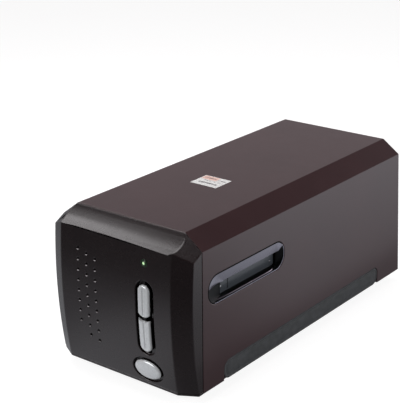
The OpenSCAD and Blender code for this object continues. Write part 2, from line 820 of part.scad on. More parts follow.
// A bracket that holds an end of both guide rods, from y0 on, with feet from foot_y on
module rod_bracket(y0, foot_y) {
    difference() {
        union() {
            box([-rod_span / 2 - 6, y0, base_top], [rod_span / 2 + 6, y0 + bracket_t, rod_z + 6]);
            for (s = [-1, 1])
                translate([s * rod_span / 2 - 6, foot_y, base_top]) cube([12, 8, 2]);
        }
        for (s = [-1, 1])
            rod_y(s * rod_span / 2, rod_z, y0 - 1, y0 + bracket_t + 9, rod_d + 2 * pin_gap);
    }
}

module front_rod_bracket() color("silver") {
    ear_x = belt_x - belt_w / 2 - 1.8;
    difference() {
        union() {
            rod_bracket(rod_y0, rod_y0);
            box([ear_x - 2, rod_y0, rod_z + 4], [ear_x, idler_y + 4, belt_z + 4]);
            box([ear_x - 4, rod_y0, rod_z + 4], [ear_x, rod_y0 + bracket_t, belt_z + 4]);
        }
        rod_x(idler_y, belt_z, ear_x - 3, ear_x + 1, shaft_d + 2 * pin_gap);
    }
}

module rear_rod_bracket() color("silver") rod_bracket(rod_y1 - bracket_t, rod_y1 - 8);

module guide_rod(s) color([0.78, 0.79, 0.80]) {
    rod_y(s * rod_span / 2, rod_z, rod_y0, rod_y1, rod_d);
}

module right_guide_rod() guide_rod(1);
module left_guide_rod() guide_rod(-1);

module motor_bracket() color("silver") {
    face_x = belt_x - belt_w / 2 - 3;
    difference() {
        union() {
            box([face_x - 2, motor_y - motor_d / 2, base_top],
                [face_x, motor_y + motor_d / 2, belt_z + motor_d / 2]);
            box([face_x - 2, motor_y - motor_d / 2, base_top],
                [face_x + 12, motor_y + motor_d / 2, base_top + 2]);
        }
        rod_x(motor_y, belt_z, face_x - 3, face_x + 1, 9);
    }
}

module stepper_motor() color([0.55, 0.56, 0.58]) {
    face_x = belt_x - belt_w / 2 - 3;
    rod_x(motor_y, belt_z, face_x - 2 - motor_l, face_x - 2, motor_d);
    rod_x(motor_y, belt_z, face_x - 2, face_x - 0.5, 8.8);
}

// A flanged belt pulley with a bore
module pulley(y, bore_d) {
    flange_w = 0.6;
    difference() {
        union() {
            rod_x(y, belt_z, belt_x - belt_w / 2 - 0.3, belt_x + belt_w / 2 + 0.3, pulley_d);
            for (x = [belt_x - belt_w / 2 - 0.3 - flange_w, belt_x + belt_w / 2 + 0.3])
                rod_x(y, belt_z, x, x + flange_w, pulley_d + 2 * belt_t);
        }
        rod_x(y, belt_z, belt_x - belt_w, belt_x + belt_w, bore_d);
    }
}

// The driven pulley is fixed on the motor's shaft, which turns with it
module drive_pulley() color([0.80, 0.78, 0.70]) {
    pulley(motor_y, shaft_d);
    rod_x(motor_y, belt_z, belt_x - belt_w / 2 - 3.2, belt_x + belt_w / 2 + 0.8, shaft_d);
}

module idler_pulley() color([0.80, 0.78, 0.70]) pulley(idler_y, shaft_d + 2 * pin_gap);

module idler_pin() color("silver") {
    rod_x(idler_y, belt_z, belt_x - belt_w / 2 - 3.8, belt_x + belt_w / 2 + 1.1, shaft_d);
}

// The closed loop of belt round both pulleys
module drive_belt() color([0.10, 0.10, 0.10]) {
    in_r = pulley_d / 2 + run_gap;
    difference() {
        along_x(belt_x - belt_w / 2, belt_x + belt_w / 2) belt_loop(in_r + belt_t);
        along_x(belt_x - belt_w, belt_x + belt_w) belt_loop(in_r);
    }
}

module belt_loop(r) {
    translate([idler_y, belt_z - r]) square([motor_y - idler_y, 2 * r]);
    for (y = [idler_y, motor_y]) translate([y, belt_z]) circle(r = r);
}

// Box of the optics, open at the top, with ears for the rod bushes
module carriage_body() color([0.12, 0.12, 0.13]) {
    w = carriage_w / 2;
    difference() {
        union() {
            box([-w, carriage_y0, carriage_z], [w, carriage_y1, carriage_top - 1.5]);
            for (e = bush_places())
                translate([e.x, e.y, 0]) {
                    box([-rod_d / 2 - bush_wall - 2.5, 0, rod_z], [rod_d / 2 + bush_wall + 2.5, bush_l, rod_z + 9]);
                    rod_y(0, rod_z, 0, bush_l, rod_d + 2 * bush_wall + 5);
                    box([min(0, -sign(e.x) * (rod_span / 2 - w + 2)), 0, rod_z + 4],
                        [max(0, -sign(e.x) * (rod_span / 2 - w + 2)), bush_l, rod_z + 9]);
                }
        }
        box([-w + carriage_t, carriage_y0 + carriage_t, carriage_z + carriage_t],
            [w - carriage_t, carriage_y1 - carriage_t, carriage_top]);
        box([-sensor_w / 2 - 1, carriage_y1 - carriage_t - 1, mirror_z - sensor_h / 2 - 1],
            [sensor_w / 2 + 1, carriage_y1 + 1, mirror_z + sensor_h / 2 + 1]);
        for (e = bush_places())
            rod_y(e.x, rod_z, e.y - 1, e.y + bush_l + 1, rod_d + 2 * bush_wall);
    }
    difference() {
        box([-w + 1, lens_y - 6, carriage_z + 1], [w - 1, lens_y + 6, mirror_z]);
        rod_y(0, mirror_z, lens_y - 7, lens_y + 7, lens_d + 2 * pin_gap);
    }
    for (s = [-1, 1])
        difference() {
            translate([s > 0 ? w - carriage_t - 3 : -w + carriage_t - 0.5, carriage_y0 + 1, carriage_z + 1])
                cube([3.5, mirror_l, carriage_h - 4]);
            translate([0, scan_line_y, mirror_z]) rotate([-45, 0, 0])
                translate([-w, -mirror_l, 0]) cube([2 * w, 2 * mirror_l, far]);
        }
}

// Bushes slide on the rods: two on the right rod and one on the left
function bush_places() = [
    [rod_span / 2, front_bush_y], [rod_span / 2, rear_bush_y],
    [-rod_span / 2, (front_bush_y + rear_bush_y) / 2]
];

module rod_bushes() color([0.72, 0.55, 0.28]) {
    for (e = bush_places())
        difference() {
            rod_y(e.x, rod_z, e.y - 0.5, e.y + bush_l + 0.5, rod_d + 2 * bush_wall);
            rod_y(e.x, rod_z, e.y - 2, e.y + bush_l + 2, rod_d + 2 * bush_gap);
        }
}

module carriage_lid() color([0.16, 0.16, 0.17]) {
    difference() {
        box([-carriage_w / 2, carriage_y0, carriage_top - 1.5], [carriage_w / 2, carriage_y1, carriage_top]);
        box([-gate_w / 2, scan_line_y - 2.5, carriage_top - 3], [gate_w / 2, scan_line_y + 2.5, carriage_top + 1]);
    }
}

module scan_mirror() color([0.80, 0.84, 0.88]) {
    w = carriage_w / 2 - carriage_t - 0.3;
    translate([0, scan_line_y, mirror_z]) rotate([-45, 0, 0])
        translate([-w, -mirror_l / 2, 0]) cube([2 * w, mirror_l, mirror_t]);
}

module lens_barrel() color([0.10, 0.10, 0.11]) {
    difference() {
        rod_y(0, mirror_z, lens_y - lens_l / 2, lens_y + lens_l / 2, lens_d);
        rod_y(0, mirror_z, lens_y - lens_l, lens_y + lens_l, lens_d - 2 * lens_wall);
    }
}

module lens_glass() color([0.70, 0.85, 0.90, 0.5]) {
    for (y = [lens_y - lens_l / 2 + glass_inset, lens_y + lens_l / 2 - glass_inset - glass_t])
        rod_y(0, mirror_z, y, y + glass_t, lens_d - 2 * lens_wall);
}

module sensor_board() color([0.05, 0.30, 0.16]) {
    box([-carriage_w / 2 + 2, carriage_y1, carriage_z + 1],
        [carriage_w / 2 - 2, carriage_y1 + sensor_t, carriage_top - 3]);
    box([-sensor_w / 2, carriage_y1 - sensor_t, mirror_z - sensor_h / 2],
        [sensor_w / 2, carriage_y1, mirror_z + sensor_h / 2]);
}

// The arm that carries the lamp over the film, on a post behind the channel
module light_arm() color([0.16, 0.16, 0.17]) {
    w = carriage_w / 2 - 2;
    difference() {
        union() {
            box([-w, post_y, carriage_top], [w, post_y + post_t, arm_z + arm_h]);
            box([-w, carriage_y0, arm_z], [w, post_y + post_t, arm_z + arm_h]);
        }
        box([-w + 2, post_y - 1, carriage_top + 3], [w - 2, post_y + post_t + 1, arm_z - 3]);
        box([-gate_w / 2, scan_line_y - 5, arm_z - 1], [gate_w / 2, scan_line_y + 5, arm_z + 4]);
    }
}

module light_bar() color([0.95, 0.95, 0.90]) {
    box([-gate_w / 2 + 0.1, scan_line_y - 4.9, arm_z + 0.4], [gate_w / 2 - 0.1, scan_line_y + 4.9, arm_z + 4]);
}

// A block on the carriage's side that grips the upper run of the belt
module belt_clamp() color([0.16, 0.16, 0.17]) {
    run_z = belt_z + pulley_d / 2 + run_gap;
    difference() {
        box([belt_x - belt_w / 2 - 1.6, clamp_y, run_z - 2], [-carriage_w / 2, clamp_y + 12, run_z + belt_t + 2.4]);
        box([belt_x - belt_w / 2 - part_gap, clamp_y - 1, run_z - part_gap],
            [belt_x + belt_w / 2 + part_gap, clamp_y + 13, run_z + belt_t + part_gap]);
    }
}

module main_board() color([0.05, 0.30, 0.16]) {
    difference() {
        union() {
            box([board_x, board_y1 - board_l, board_z], [board_x + board_t, board_y1, board_z + board_h]);
            for (c = chips)
                translate([board_x - c[4], board_y1 - board_l * (1 - c[0]) - c[2] / 2,
                           board_z + board_h * c[1] - c[3] / 2])
                    cube([c[4], c[2], c[3]]);
        }
        for (y = board_hole_y)
            rod_x(y, board_hole_z, board_x - 1, board_x + board_t + 1, screw_d + 0.5);
    }
}

// The data port: a metal shell round a tongue
module data_port() color([0.78, 0.78, 0.80]) {
    x0 = board_x - port_w;
    z0 = port_z - port_h / 2;
    y0 = panel_y1 - 16;
    difference() {
        box([x0, y0, z0], [board_x, panel_y1, z0 + port_h]);
        box([x0 + 1.6, y0 + 6, z0 + 1.5], [board_x - 1.6, panel_y1 + 1, z0 + port_h - 1.5]);
    }
    box([x0 + 3, y0 + 5, port_z - 1.6], [board_x - 3, panel_y1 - 2, port_z + 1.6]);
}

// The low-voltage inlet: a round socket with a centre pin
module power_jack() color([0.10, 0.10, 0.10]) {
    x = board_x - port_w / 2;
    y0 = panel_y1 - 14;
    difference() {
        union() {
            box([board_x - port_w, y0, jack_z - 5.5], [board_x, panel_y0 - part_gap, jack_z + 5.5]);
            rod_y(x, jack_z, y0, panel_y1, jack_d + 2.6);
        }
        rod_y(x, jack_z, y0 + 3, panel_y1 + 1, jack_d);
    }
    rod_y(x, jack_z, y0 + 2, panel_y1 - 1, 2);
}

// A pan-head screw pointing along +Z from the seat of its head
module screw(length) {
    cylinder(d = screw_d, h = length);
    translate([0, 0, -head_h]) cylinder(d = head_d, h = head_h);
}

module base_screws() color([0.35, 0.35, 0.37]) {
    for (p = base_screw_places())
        translate([p.x, p.y, low_z + head_h + 0.4]) screw(9);
}

module panel_screws() color([0.35, 0.35, 0.37]) {
    for (p = panel_screw_places())
        translate([p.x, panel_y1, p.y]) rotate([90, 0, 0]) screw(8);
}

module board_screws() color([0.70, 0.70, 0.72]) {
    for (p = board_screw_places())
        translate([p.x, front_y + board_face + board_t, p.y]) rotate([90, 0, 0]) screw(7);
    for (y = board_hole_y)
        translate([board_x, y, board_hole_z]) rotate([0, 90, 0]) screw(4);
}

top_cover();
front_bezel();
base_tray();
rear_panel();
right_slot_frame();
left_slot_frame();
right_side_strip();
left_side_strip();
foot_front_right();
foot_front_left();
foot_rear_right();
foot_rear_left();
top_label();
status_light();
button_board();
upper_switch();
lower_switch();
power_switch();
upper_switch_cap();
lower_switch_cap();
power_switch_cap();
upper_scan_button();
lower_scan_button();
power_button();
right_dust_door();
left_dust_door();
right_door_pin();
left_door_pin();
right_door_spring();
left_door_spring();
film_track_floor();
film_track_roof();
front_rod_bracket();
rear_rod_bracket();
right_guide_rod();
left_guide_rod();
motor_bracket();
stepper_motor();
drive_pulley();
idler_pulley();
idler_pin();
drive_belt();
carriage_body();
carriage_lid();
scan_mirror();
lens_barrel();
lens_glass();
sensor_board();
light_arm();
light_bar();
rod_bushes();
belt_clamp();
main_board();
data_port();
power_jack();
base_screws();
panel_screws();
board_screws();
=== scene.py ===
"""Looks of a desktop film scanner, dressed round its packed construction model.

The scanner stands on z = 0 with its front towards -Y, and the frame's unit is the metre.
Sizes in this file are in millimetres, as in the part's source, until a mesh is made.
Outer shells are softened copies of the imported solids. Buttons, the status light, screw heads
and the studio are surfaces worked out with numpy.
"""

from __future__ import annotations

import json
import logging
import math
from dataclasses import dataclass
from enum import Enum
from typing import Union

import bmesh
import bpy
import numpy as np
from mathutils import Matrix

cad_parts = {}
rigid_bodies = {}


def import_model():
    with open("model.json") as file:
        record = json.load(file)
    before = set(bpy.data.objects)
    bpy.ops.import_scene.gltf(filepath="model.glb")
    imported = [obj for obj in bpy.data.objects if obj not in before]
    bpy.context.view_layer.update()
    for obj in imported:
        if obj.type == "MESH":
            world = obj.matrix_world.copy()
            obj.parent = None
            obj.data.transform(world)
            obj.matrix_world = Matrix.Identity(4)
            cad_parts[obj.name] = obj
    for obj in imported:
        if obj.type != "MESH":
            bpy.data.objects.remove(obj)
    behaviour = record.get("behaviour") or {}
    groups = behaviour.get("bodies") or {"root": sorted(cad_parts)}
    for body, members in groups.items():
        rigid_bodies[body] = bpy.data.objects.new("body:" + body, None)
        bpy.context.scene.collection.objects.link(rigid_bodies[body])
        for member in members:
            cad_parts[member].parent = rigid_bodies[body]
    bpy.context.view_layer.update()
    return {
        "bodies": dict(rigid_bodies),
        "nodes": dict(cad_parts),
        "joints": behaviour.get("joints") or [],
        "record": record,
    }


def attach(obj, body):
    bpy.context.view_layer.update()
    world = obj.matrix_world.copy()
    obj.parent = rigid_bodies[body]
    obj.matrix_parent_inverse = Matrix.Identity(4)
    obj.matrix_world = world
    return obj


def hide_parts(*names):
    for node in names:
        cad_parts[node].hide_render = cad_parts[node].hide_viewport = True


log = logging.getLogger("scanner")

MM = 0.001
Colour = tuple[float, float, float]
Point = tuple[float, float, float]
Span = tuple[float, float]
Material = bpy.types.Material
Piece = bpy.types.Object
Socket = bpy.types.NodeSocket


# ---------------------------------------------------------------- shader maths


class Number:
    """A number in a material. Its operators add Math nodes."""

    def __init__(self, sheet: "Sheet", socket: Socket) -> None:
        """Wraps a socket of the sheet."""
        self.sheet = sheet
        self.socket = socket

    def _math(self, operation: str, *terms: "Term") -> "Number":
        """Adds a Math node.

        Args:
            operation: The node's operation.
            terms: Its inputs in order.

        Returns:
            The node's result.
        """
        inputs = dict(enumerate(terms))
        return self.sheet.number("ShaderNodeMath", {"operation": operation}, inputs)

    def __add__(self, other: "Term") -> "Number":
        """self + other."""
        return self._math("ADD", self, other)

    __radd__ = __add__

    def __sub__(self, other: "Term") -> "Number":
        """self - other."""
        return self._math("SUBTRACT", self, other)

    def __rsub__(self, other: "Term") -> "Number":
        """other - self."""
        return self._math("SUBTRACT", other, self)

    def __mul__(self, other: "Term") -> "Number":
        """self * other."""
        return self._math("MULTIPLY", self, other)

    __rmul__ = __mul__

    def __truediv__(self, other: "Term") -> "Number":
        """self / other."""
        return self._math("DIVIDE", self, other)

    def __abs__(self) -> "Number":
        """The distance from 0."""
        return self._math("ABSOLUTE", self)

    def __lt__(self, other: "Term") -> "Number":
        """1 where self is below other, and 0 elsewhere."""
        return self._math("LESS_THAN", self, other)

    def __gt__(self, other: "Term") -> "Number":
        """1 where self is above other, and 0 elsewhere."""
        return self._math("GREATER_THAN", self, other)

    def fraction(self) -> "Number":
        """What stays after the whole number is taken off."""
        return self._math("FRACT", self)

    def least(self, other: "Term") -> "Number":
        """The smaller of both."""
        return self._math("MINIMUM", self, other)

    def most(self, other: "Term") -> "Number":
        """The larger of both."""
        return self._math("MAXIMUM", self, other)

    def step(self, low: float, high: float) -> "Number":
        """Rises smoothly from 0 at one value to 1 at another.

        Args:
            low: Where it is 0.
            high: Where it is 1. It may be the smaller one.

        Returns:
            The share.
        """
        settings = {"interpolation_type": "SMOOTHSTEP"}
        inputs = {0: self, 1: low, 2: high}
        return self.sheet.number("ShaderNodeMapRange", settings, inputs)


Term = Union[Number, float]


class Sheet:
    """A node tree that is being filled."""

    coordinates = "Object"

    def __init__(self, tree: bpy.types.NodeTree, out: str) -> None:
        """Empties a tree and gives it an output node.

        Args:
            tree: The tree to fill.
            out: Type of its output node.
        """
        self.tree = tree
        self.tree.nodes.clear()
        self.out = self.tree.nodes.new(out)
        self._place: dict[str, Number] = {}

    def node(
        self,
        kind: str,
        settings: dict[str, object] | None = None,
        inputs: dict[int | str, object] | None = None,
    ) -> bpy.types.Node:
        """Adds any node.

        Args:
            kind: The node's type.
            settings: Its properties; "stops" are a ramp's places and colours.
            inputs: Values or links of its sockets, by name or number.

        Returns:
            The new node.
        """
        made = self.tree.nodes.new(kind)
        for key, value in (settings or {}).items():
            if key == "stops":
                ramp = made.color_ramp.elements
                while len(ramp) < len(value):
                    ramp.new(0.5)
                for stop, (place, colour) in zip(ramp, value):
                    stop.position = place
                    stop.color = (*colour, 1.0)
            else:
                setattr(made, key, value)
        for key, value in (inputs or {}).items():
            self.feed(made.inputs[key], value)
        return made

    def feed(self, socket: Socket, value: object) -> None:
        """Links a socket to a result, or sets it to a constant.

        Args:
            socket: The input to feed.
            value: A number, colour, socket or wrapped socket.
        """
        source = getattr(value, "socket", value)
        if isinstance(source, Socket):
            self.tree.links.new(source, socket)
        elif isinstance(value, tuple) and socket.type == "RGBA":
            socket.default_value = (*value, 1.0)
        else:
            socket.default_value = value

    def number(self, kind: str, settings: dict, inputs: dict, output: int | str = 0) -> Number:
        """Adds a node and wraps one of its results."""
        return Number(self, self.node(kind, settings, inputs).outputs[output])

    def show(self, shader: Socket) -> None:
        """Links a shader to the output."""
        self.tree.links.new(shader, self.out.inputs["Surface"])

    def seen_by(self, *rays: str) -> Number:
        """Tells rays of some kinds from others.

        Args:
            rays: Kinds of ray, such as "Is Camera Ray".

        Returns:
            1 for rays of these kinds, and 0 for others.
        """
        path = self.node("ShaderNodeLightPath")
        kinds = [Number(self, path.outputs[ray]) for ray in rays]
        return sum(kinds[1:], kinds[0])

    def place(self) -> dict[str, Number]:
        """The point on the piece, in metres.

        Returns:
            Its numbers under "x", "y" and "z", and the vector under "all".
        """
        if not self._place:
            at = self.node("ShaderNodeTexCoord").outputs[self.coordinates]
            split = self.node("ShaderNodeSeparateXYZ", inputs={0: at})
            self._place = {axis: Number(self, split.outputs[i]) for i, axis in enumerate("xyz")}
            self._place["all"] = Number(self, at)
        return self._place

    def stretched(self, scale: Point) -> Number:
        """The point on the piece with each axis scaled by its own factor."""
        inputs = {0: self.place()["all"], 1: scale}
        return self.number("ShaderNodeVectorMath", {"operation": "MULTIPLY"}, inputs)

    def noise(self, size: float, detail: float = 2.0, scale: tuple | None = None) -> Number:
        """Soft random variation from 0 to 1.

        Args:
            size: Width of its largest spots in millimetres.
            detail: How many finer layers it has.
            scale: Factors that stretch it along the axes.

        Returns:
            The variation.
        """
        at = self.stretched(scale) if scale else self.place()["all"]
        inputs = {"Vector": at, "Scale": 1.0 / (size * MM), "Detail": detail}
        return self.number("ShaderNodeTexNoise", {}, inputs, "Fac")

    def cells(self, size: float) -> Number:
        """Distance within cells of about the size given in millimetres."""
        inputs = {"Vector": self.place()["all"], "Scale": 1.0 / (size * MM)}
        return self.number("ShaderNodeTexVoronoi", {}, inputs, "Distance")

    def mix(self, factor: Term, low: object, high: object) -> Socket:
        """A colour that goes from low to high with the factor."""
        settings = {"data_type": "RGBA"}
        return self.node("ShaderNodeMix", settings, {0: factor, 6: low, 7: high}).outputs[2]

    def relief(self, height: Number, depth: float, after: object = None) -> Socket:
        """A bump.

        Args:
            height: Its height as a share of its depth.
            depth: Its depth in millimetres.
            after: Another bump that it lies over.

        Returns:
            The bent normal.
        """
        inputs = {"Height": height, "Distance": depth * MM}
        if after is not None:
            inputs["Normal"] = after
        return self.node("ShaderNodeBump", {}, inputs).outputs[0]


class Finish(Sheet):
    """A material with a Principled shader at its end."""

    def __init__(self, name: str, **fixed: object) -> None:
        """Starts a material.

        Args:
            name: The material's name.
            fixed: Principled inputs that are the same all over, with _ for a space.
        """
        self.material = bpy.data.materials.new(name)
        self.material.use_nodes = True
        super().__init__(self.material.node_tree, "ShaderNodeOutputMaterial")
        self.shader = self.node("ShaderNodeBsdfPrincipled")
        self.set(**fixed)
        self.show(self.shader.outputs[0])

    def set(self, **sockets: object) -> None:
        """Feeds inputs of the Principled shader, with _ for a space in their names."""
        for key, value in sockets.items():
            self.feed(self.shader.inputs[key.replace("_", " ")], value)


class Sky(Sheet):
    """The world's tree, whose place is a direction of length 1."""

    coordinates = "Generated"

    def __init__(self, world: bpy.types.World) -> None:
        """Starts the world's tree."""
        world.use_nodes = True
        super().__init__(world.node_tree, "ShaderNodeOutputWorld")


# ---------------------------------------------------------------- finishes


def shade(colour: Colour, factor: float) -> Colour:
    """A colour made lighter or darker by a factor, or a point scaled by it."""
    return tuple(c * factor for c in colour)


@dataclass(frozen=True)
class SatinPaint:
    """Sprayed satin paint on a moulded shell, with fine metal flakes and orange peel."""

    name: str
    colour: Colour
    flake: Colour
    rough: float = 0.30
    peel: float = 0.010

    def make(self) -> Material:
        """Builds the material.

        Returns:
            The material.
        """
        s = Finish(self.name, IOR=1.68, Specular_Tint=(1.0, 0.96, 0.98))
        flakes = s.cells(0.35).step(0.18, 0.02)
        drift = s.noise(60.0, 3.0)
        smudge = s.noise(9.0, 4.0)
        body = s.mix(drift.step(0.3, 0.75), self.colour, shade(self.colour, 1.2))
        peel = s.relief(s.noise(0.9, 2.0), self.peel)
        s.set(
            Base_Color=s.mix(flakes * 0.25, body, self.flake),
            Roughness=self.rough + (smudge - 0.5) * 0.06 - flakes * 0.04,
            Metallic=flakes * 0.25,
            Normal=s.relief(s.noise(0.22, 1.0), 0.003, peel),
        )
        return s.material


@dataclass(frozen=True)
class Moulded:
    """Moulded plastic with a fine spark-eroded grain."""

    name: str
    colour: Colour
    rough: float = 0.5
    grain: float = 0.25
    depth: float = 0.02
    gloss: float = 0.5

    def make(self) -> Material:
        """Builds the material.

        Returns:
            The material.
        """
        s = Finish(self.name, Specular_IOR_Level=self.gloss)
        drift = s.noise(25.0, 3.0)
        grain = s.noise(self.grain, 3.0)
        s.set(
            Base_Color=s.mix(drift, self.colour, shade(self.colour, 1.25)),
            Roughness=self.rough + (grain - 0.5) * 0.16 + (drift - 0.5) * 0.06,
            Normal=s.relief(grain, self.depth),
        )
        return s.material


@dataclass(frozen=True)
class Rubber:
    """Matt rubber with dust-like mottling."""

    name: str
    colour: Colour
    rough: float = 0.72

    def make(self) -> Material:
        """Builds the material.

        Returns:
            The material.
        """
        s = Finish(self.name, Specular_IOR_Level=0.4)
        mottle = s.noise(5.0, 5.0)
        pores = s.cells(0.5)
        s.set(
            Base_Color=s.mix(mottle.step(0.3, 0.8), self.colour, shade(self.colour, 1.5)),
            Roughness=self.rough + (mottle - 0.5) * 0.15,
            Normal=s.relief(pores, 0.02, s.relief(mottle, 0.04)),
        )
        return s.material


class Lay(Enum):
    """Direction in which a metal's fine scratches run, as factors on the three axes."""

    ALONG_X = (0.04, 1.0, 1.0)
    ALONG_Y = (1.0, 0.04, 1.0)
    NONE = (1.0, 1.0, 1.0)


@dataclass(frozen=True)
class Metal:
    """Bare or plated metal with fine scratches and a few duller patches."""

    name: str
    colour: Colour
    rough: float = 0.28
    lay: Lay = Lay.NONE
    depth: float = 0.006

    def make(self) -> Material:
        """Builds the material.

        Returns:
            The material.
        """
        s = Finish(self.name, Metallic=1.0)
        lines = s.noise(0.3, 3.0, self.lay.value)
        patches = s.noise(14.0, 4.0)
        dull = patches.step(0.45, 0.8)
        s.set(
            Base_Color=s.mix(dull * 0.5, self.colour, shade(self.colour, 0.72)),
            Roughness=self.rough + dull * 0.14 + (lines - 0.5) * 0.1,
            Normal=s.relief(lines, self.depth),
        )
        return s.material


@dataclass(frozen=True)
class SilverPaint:
    """Silver paint of the buttons, with a visible sparkle, on the face and its rim only.

    The sides below the rim are black as painted shade of the recess round each button.
    How deep a point lies is its distance from the front's bow, which is the square of its height
    from the bow's middle over twice the radius.
    """

    name: str
    colour: Colour
    black: Colour = (0.006, 0.006, 0.006)

    def make(self) -> Material:
        """Builds the material.

        Returns:
            The material.
        """
        s = Finish(self.name, Coat_Weight=0.25, Coat_Roughness=0.15)
        flakes = s.cells(0.3)
        cloud = s.noise(1.6, 4.0)
        rise = s.place()["z"] / MM - AT.bow_z
        depth = s.place()["y"] / MM - AT.front_y - rise * rise / (2 * AT.bow_r)
        # painted shade: black on the sides below the rim, as if in the recess's shadow
        recess_shade = depth.step(0.0, 0.4)
        dark = shade(self.colour, 0.66)
        paint = s.mix(cloud.step(0.3, 0.7) * 0.2 + flakes * 0.3, self.colour, dark)
        s.set(
            Base_Color=s.mix(recess_shade, paint, self.black),
            Roughness=0.23 + flakes * 0.16 + recess_shade * 0.3,
            Metallic=(0.25 + cloud * 0.1) * (1.0 - recess_shade),
            Normal=s.relief(flakes, 0.012),
        )
        return s.material


@dataclass(frozen=True)
class VentLip:
    """Painted glint on the lower edge of a vent hole: a pale colour that fades to dark towards the
    bottom of the front.
    """

    name: str
    colour: Colour
    dark_z: float
    pale_z: float

    def make(self) -> Material:
        """Builds the material.

        Returns:
            The material.
        """
        s = Finish(self.name, Roughness=0.4)
        # painted glint: pale high on the front, fading to dark lower down, varied by a random
        # speckle
        pale = s.place()["z"].step(self.dark_z * MM, self.pale_z * MM)
        worn = s.noise(3.0, 3.0)
        dark = shade(self.colour, 0.2)
        s.set(
            Base_Color=s.mix(pale * (0.7 + worn * 0.5), dark, self.colour),
            Normal=s.relief(worn, 0.01),
        )
        return s.material


@dataclass(frozen=True)
class Felt:
    """Black felt with short fibres: the joint on the door, and painted shade in the slots."""

    name: str
    colour: Colour

    def make(self) -> Material:
        """Builds the material.

        Returns:
            The material.
        """
        s = Finish(self.name, Specular_IOR_Level=0.1)
        fibre = s.noise(0.25, 4.0, (1.0, 0.2, 1.0))
        s.set(
            Base_Color=s.mix(fibre, self.colour, shade(self.colour, 2.2)),
            Roughness=0.85 + fibre * 0.1,
            Normal=s.relief(fibre, 0.05),
        )
        return s.material


@dataclass(frozen=True)
class CircuitBoard:
    """Solder mask over copper tracks, with tinned holes, at the pitches given in millimetres."""

    name: str
    across: str
    up: str = "z"
    track_pitch: Span = (1.9, 1.27)
    hole_pitch: float = 5.08

    def make(self) -> Material:
        """Builds the material.

        Returns:
            The material.
        """
        s = Finish(self.name, Coat_Weight=0.3, Coat_Roughness=0.15)
        u, v = s.place()[self.across] / MM, s.place()[self.up] / MM
        column = (u / self.track_pitch[0]).fraction() - 0.5
        lane = (v / self.track_pitch[1]).fraction() - 0.5
        lanes = (abs(lane) < 0.17) * (s.noise(16.0, 0.0) > 0.46)
        rows = (abs(column) < 0.14) * (s.noise(22.0, 0.0) < 0.44)
        track = lanes.most(rows)
        du, dv = ((at / self.hole_pitch).fraction() - 0.5 for at in (u, v))
        hole = ((du * du + dv * dv) < 0.011) * (s.noise(11.0, 0.0) > 0.5)
        mask = s.mix(track, (0.008, 0.085, 0.035), (0.02, 0.17, 0.07))
        s.set(
            Base_Color=s.mix(hole, mask, (0.62, 0.62, 0.60)),
            Metallic=hole * 0.9,
            Roughness=0.38 - track * 0.08,
            Normal=s.relief(track.most(hole), 0.035),
        )
        return s.material


@dataclass(frozen=True)
class Belt:
    """Black timing belt with its ribs across the run."""

    name: str

    def make(self) -> Material:
        """Builds the material.

        Returns:
            The material.
        """
        s = Finish(self.name)
        rib = abs((s.place()["y"] / (2.0 * MM)).fraction() - 0.5).step(0.1, 0.3)
        s.set(
            Base_Color=s.mix(rib, (0.012, 0.012, 0.012), (0.03, 0.03, 0.03)),
            Roughness=0.6 + rib * 0.15,
            Normal=s.relief(rib, 0.15),
        )
        return s.material


@dataclass(frozen=True)
class Optic:
    """Coated glass, or a first-surface mirror."""

    name: str
    colour: Colour
    mirror: bool

    def make(self) -> Material:
        """Builds the material.

        Returns:
            The material.
        """
        fixed = {"Metallic": 1.0} if self.mirror else {"Transmission_Weight": 0.9, "IOR": 1.52}
        s = Finish(self.name, **fixed)
        haze = s.noise(6.0, 4.0)
        s.set(
            Base_Color=s.mix(haze, self.colour, shade(self.colour, 0.93)),
            Roughness=0.02 + haze.step(0.5, 0.9) * 0.06,
        )
        return s.material


@dataclass(frozen=True)
class Glow:
    """A part that gives light, brightest at its middle."""

    name: str
    colour: Colour
    glow: Colour
    strength: float
    centre: Point
    reach: float

    def make(self) -> Material:
        """Builds the material.

        Returns:
            The material.
        """
        s = Finish(self.name, Emission_Strength=self.strength, Coat_Weight=0.5)
        away = s.number(
            "ShaderNodeVectorMath",
            {"operation": "DISTANCE"},
            {0: s.place()["all"], 1: shade(self.centre, MM)},
            "Value",
        )
        fall = 1.0 - (away / (self.reach * MM)).step(0.3, 0.75)
        s.set(
            Base_Color=s.mix(s.noise(2.0), self.colour, shade(self.colour, 0.8)),
            Emission_Color=s.mix(fall, shade(self.glow, 0.015), self.glow),
            Roughness=0.25 + s.noise(3.0) * 0.1,
        )
        return s.material


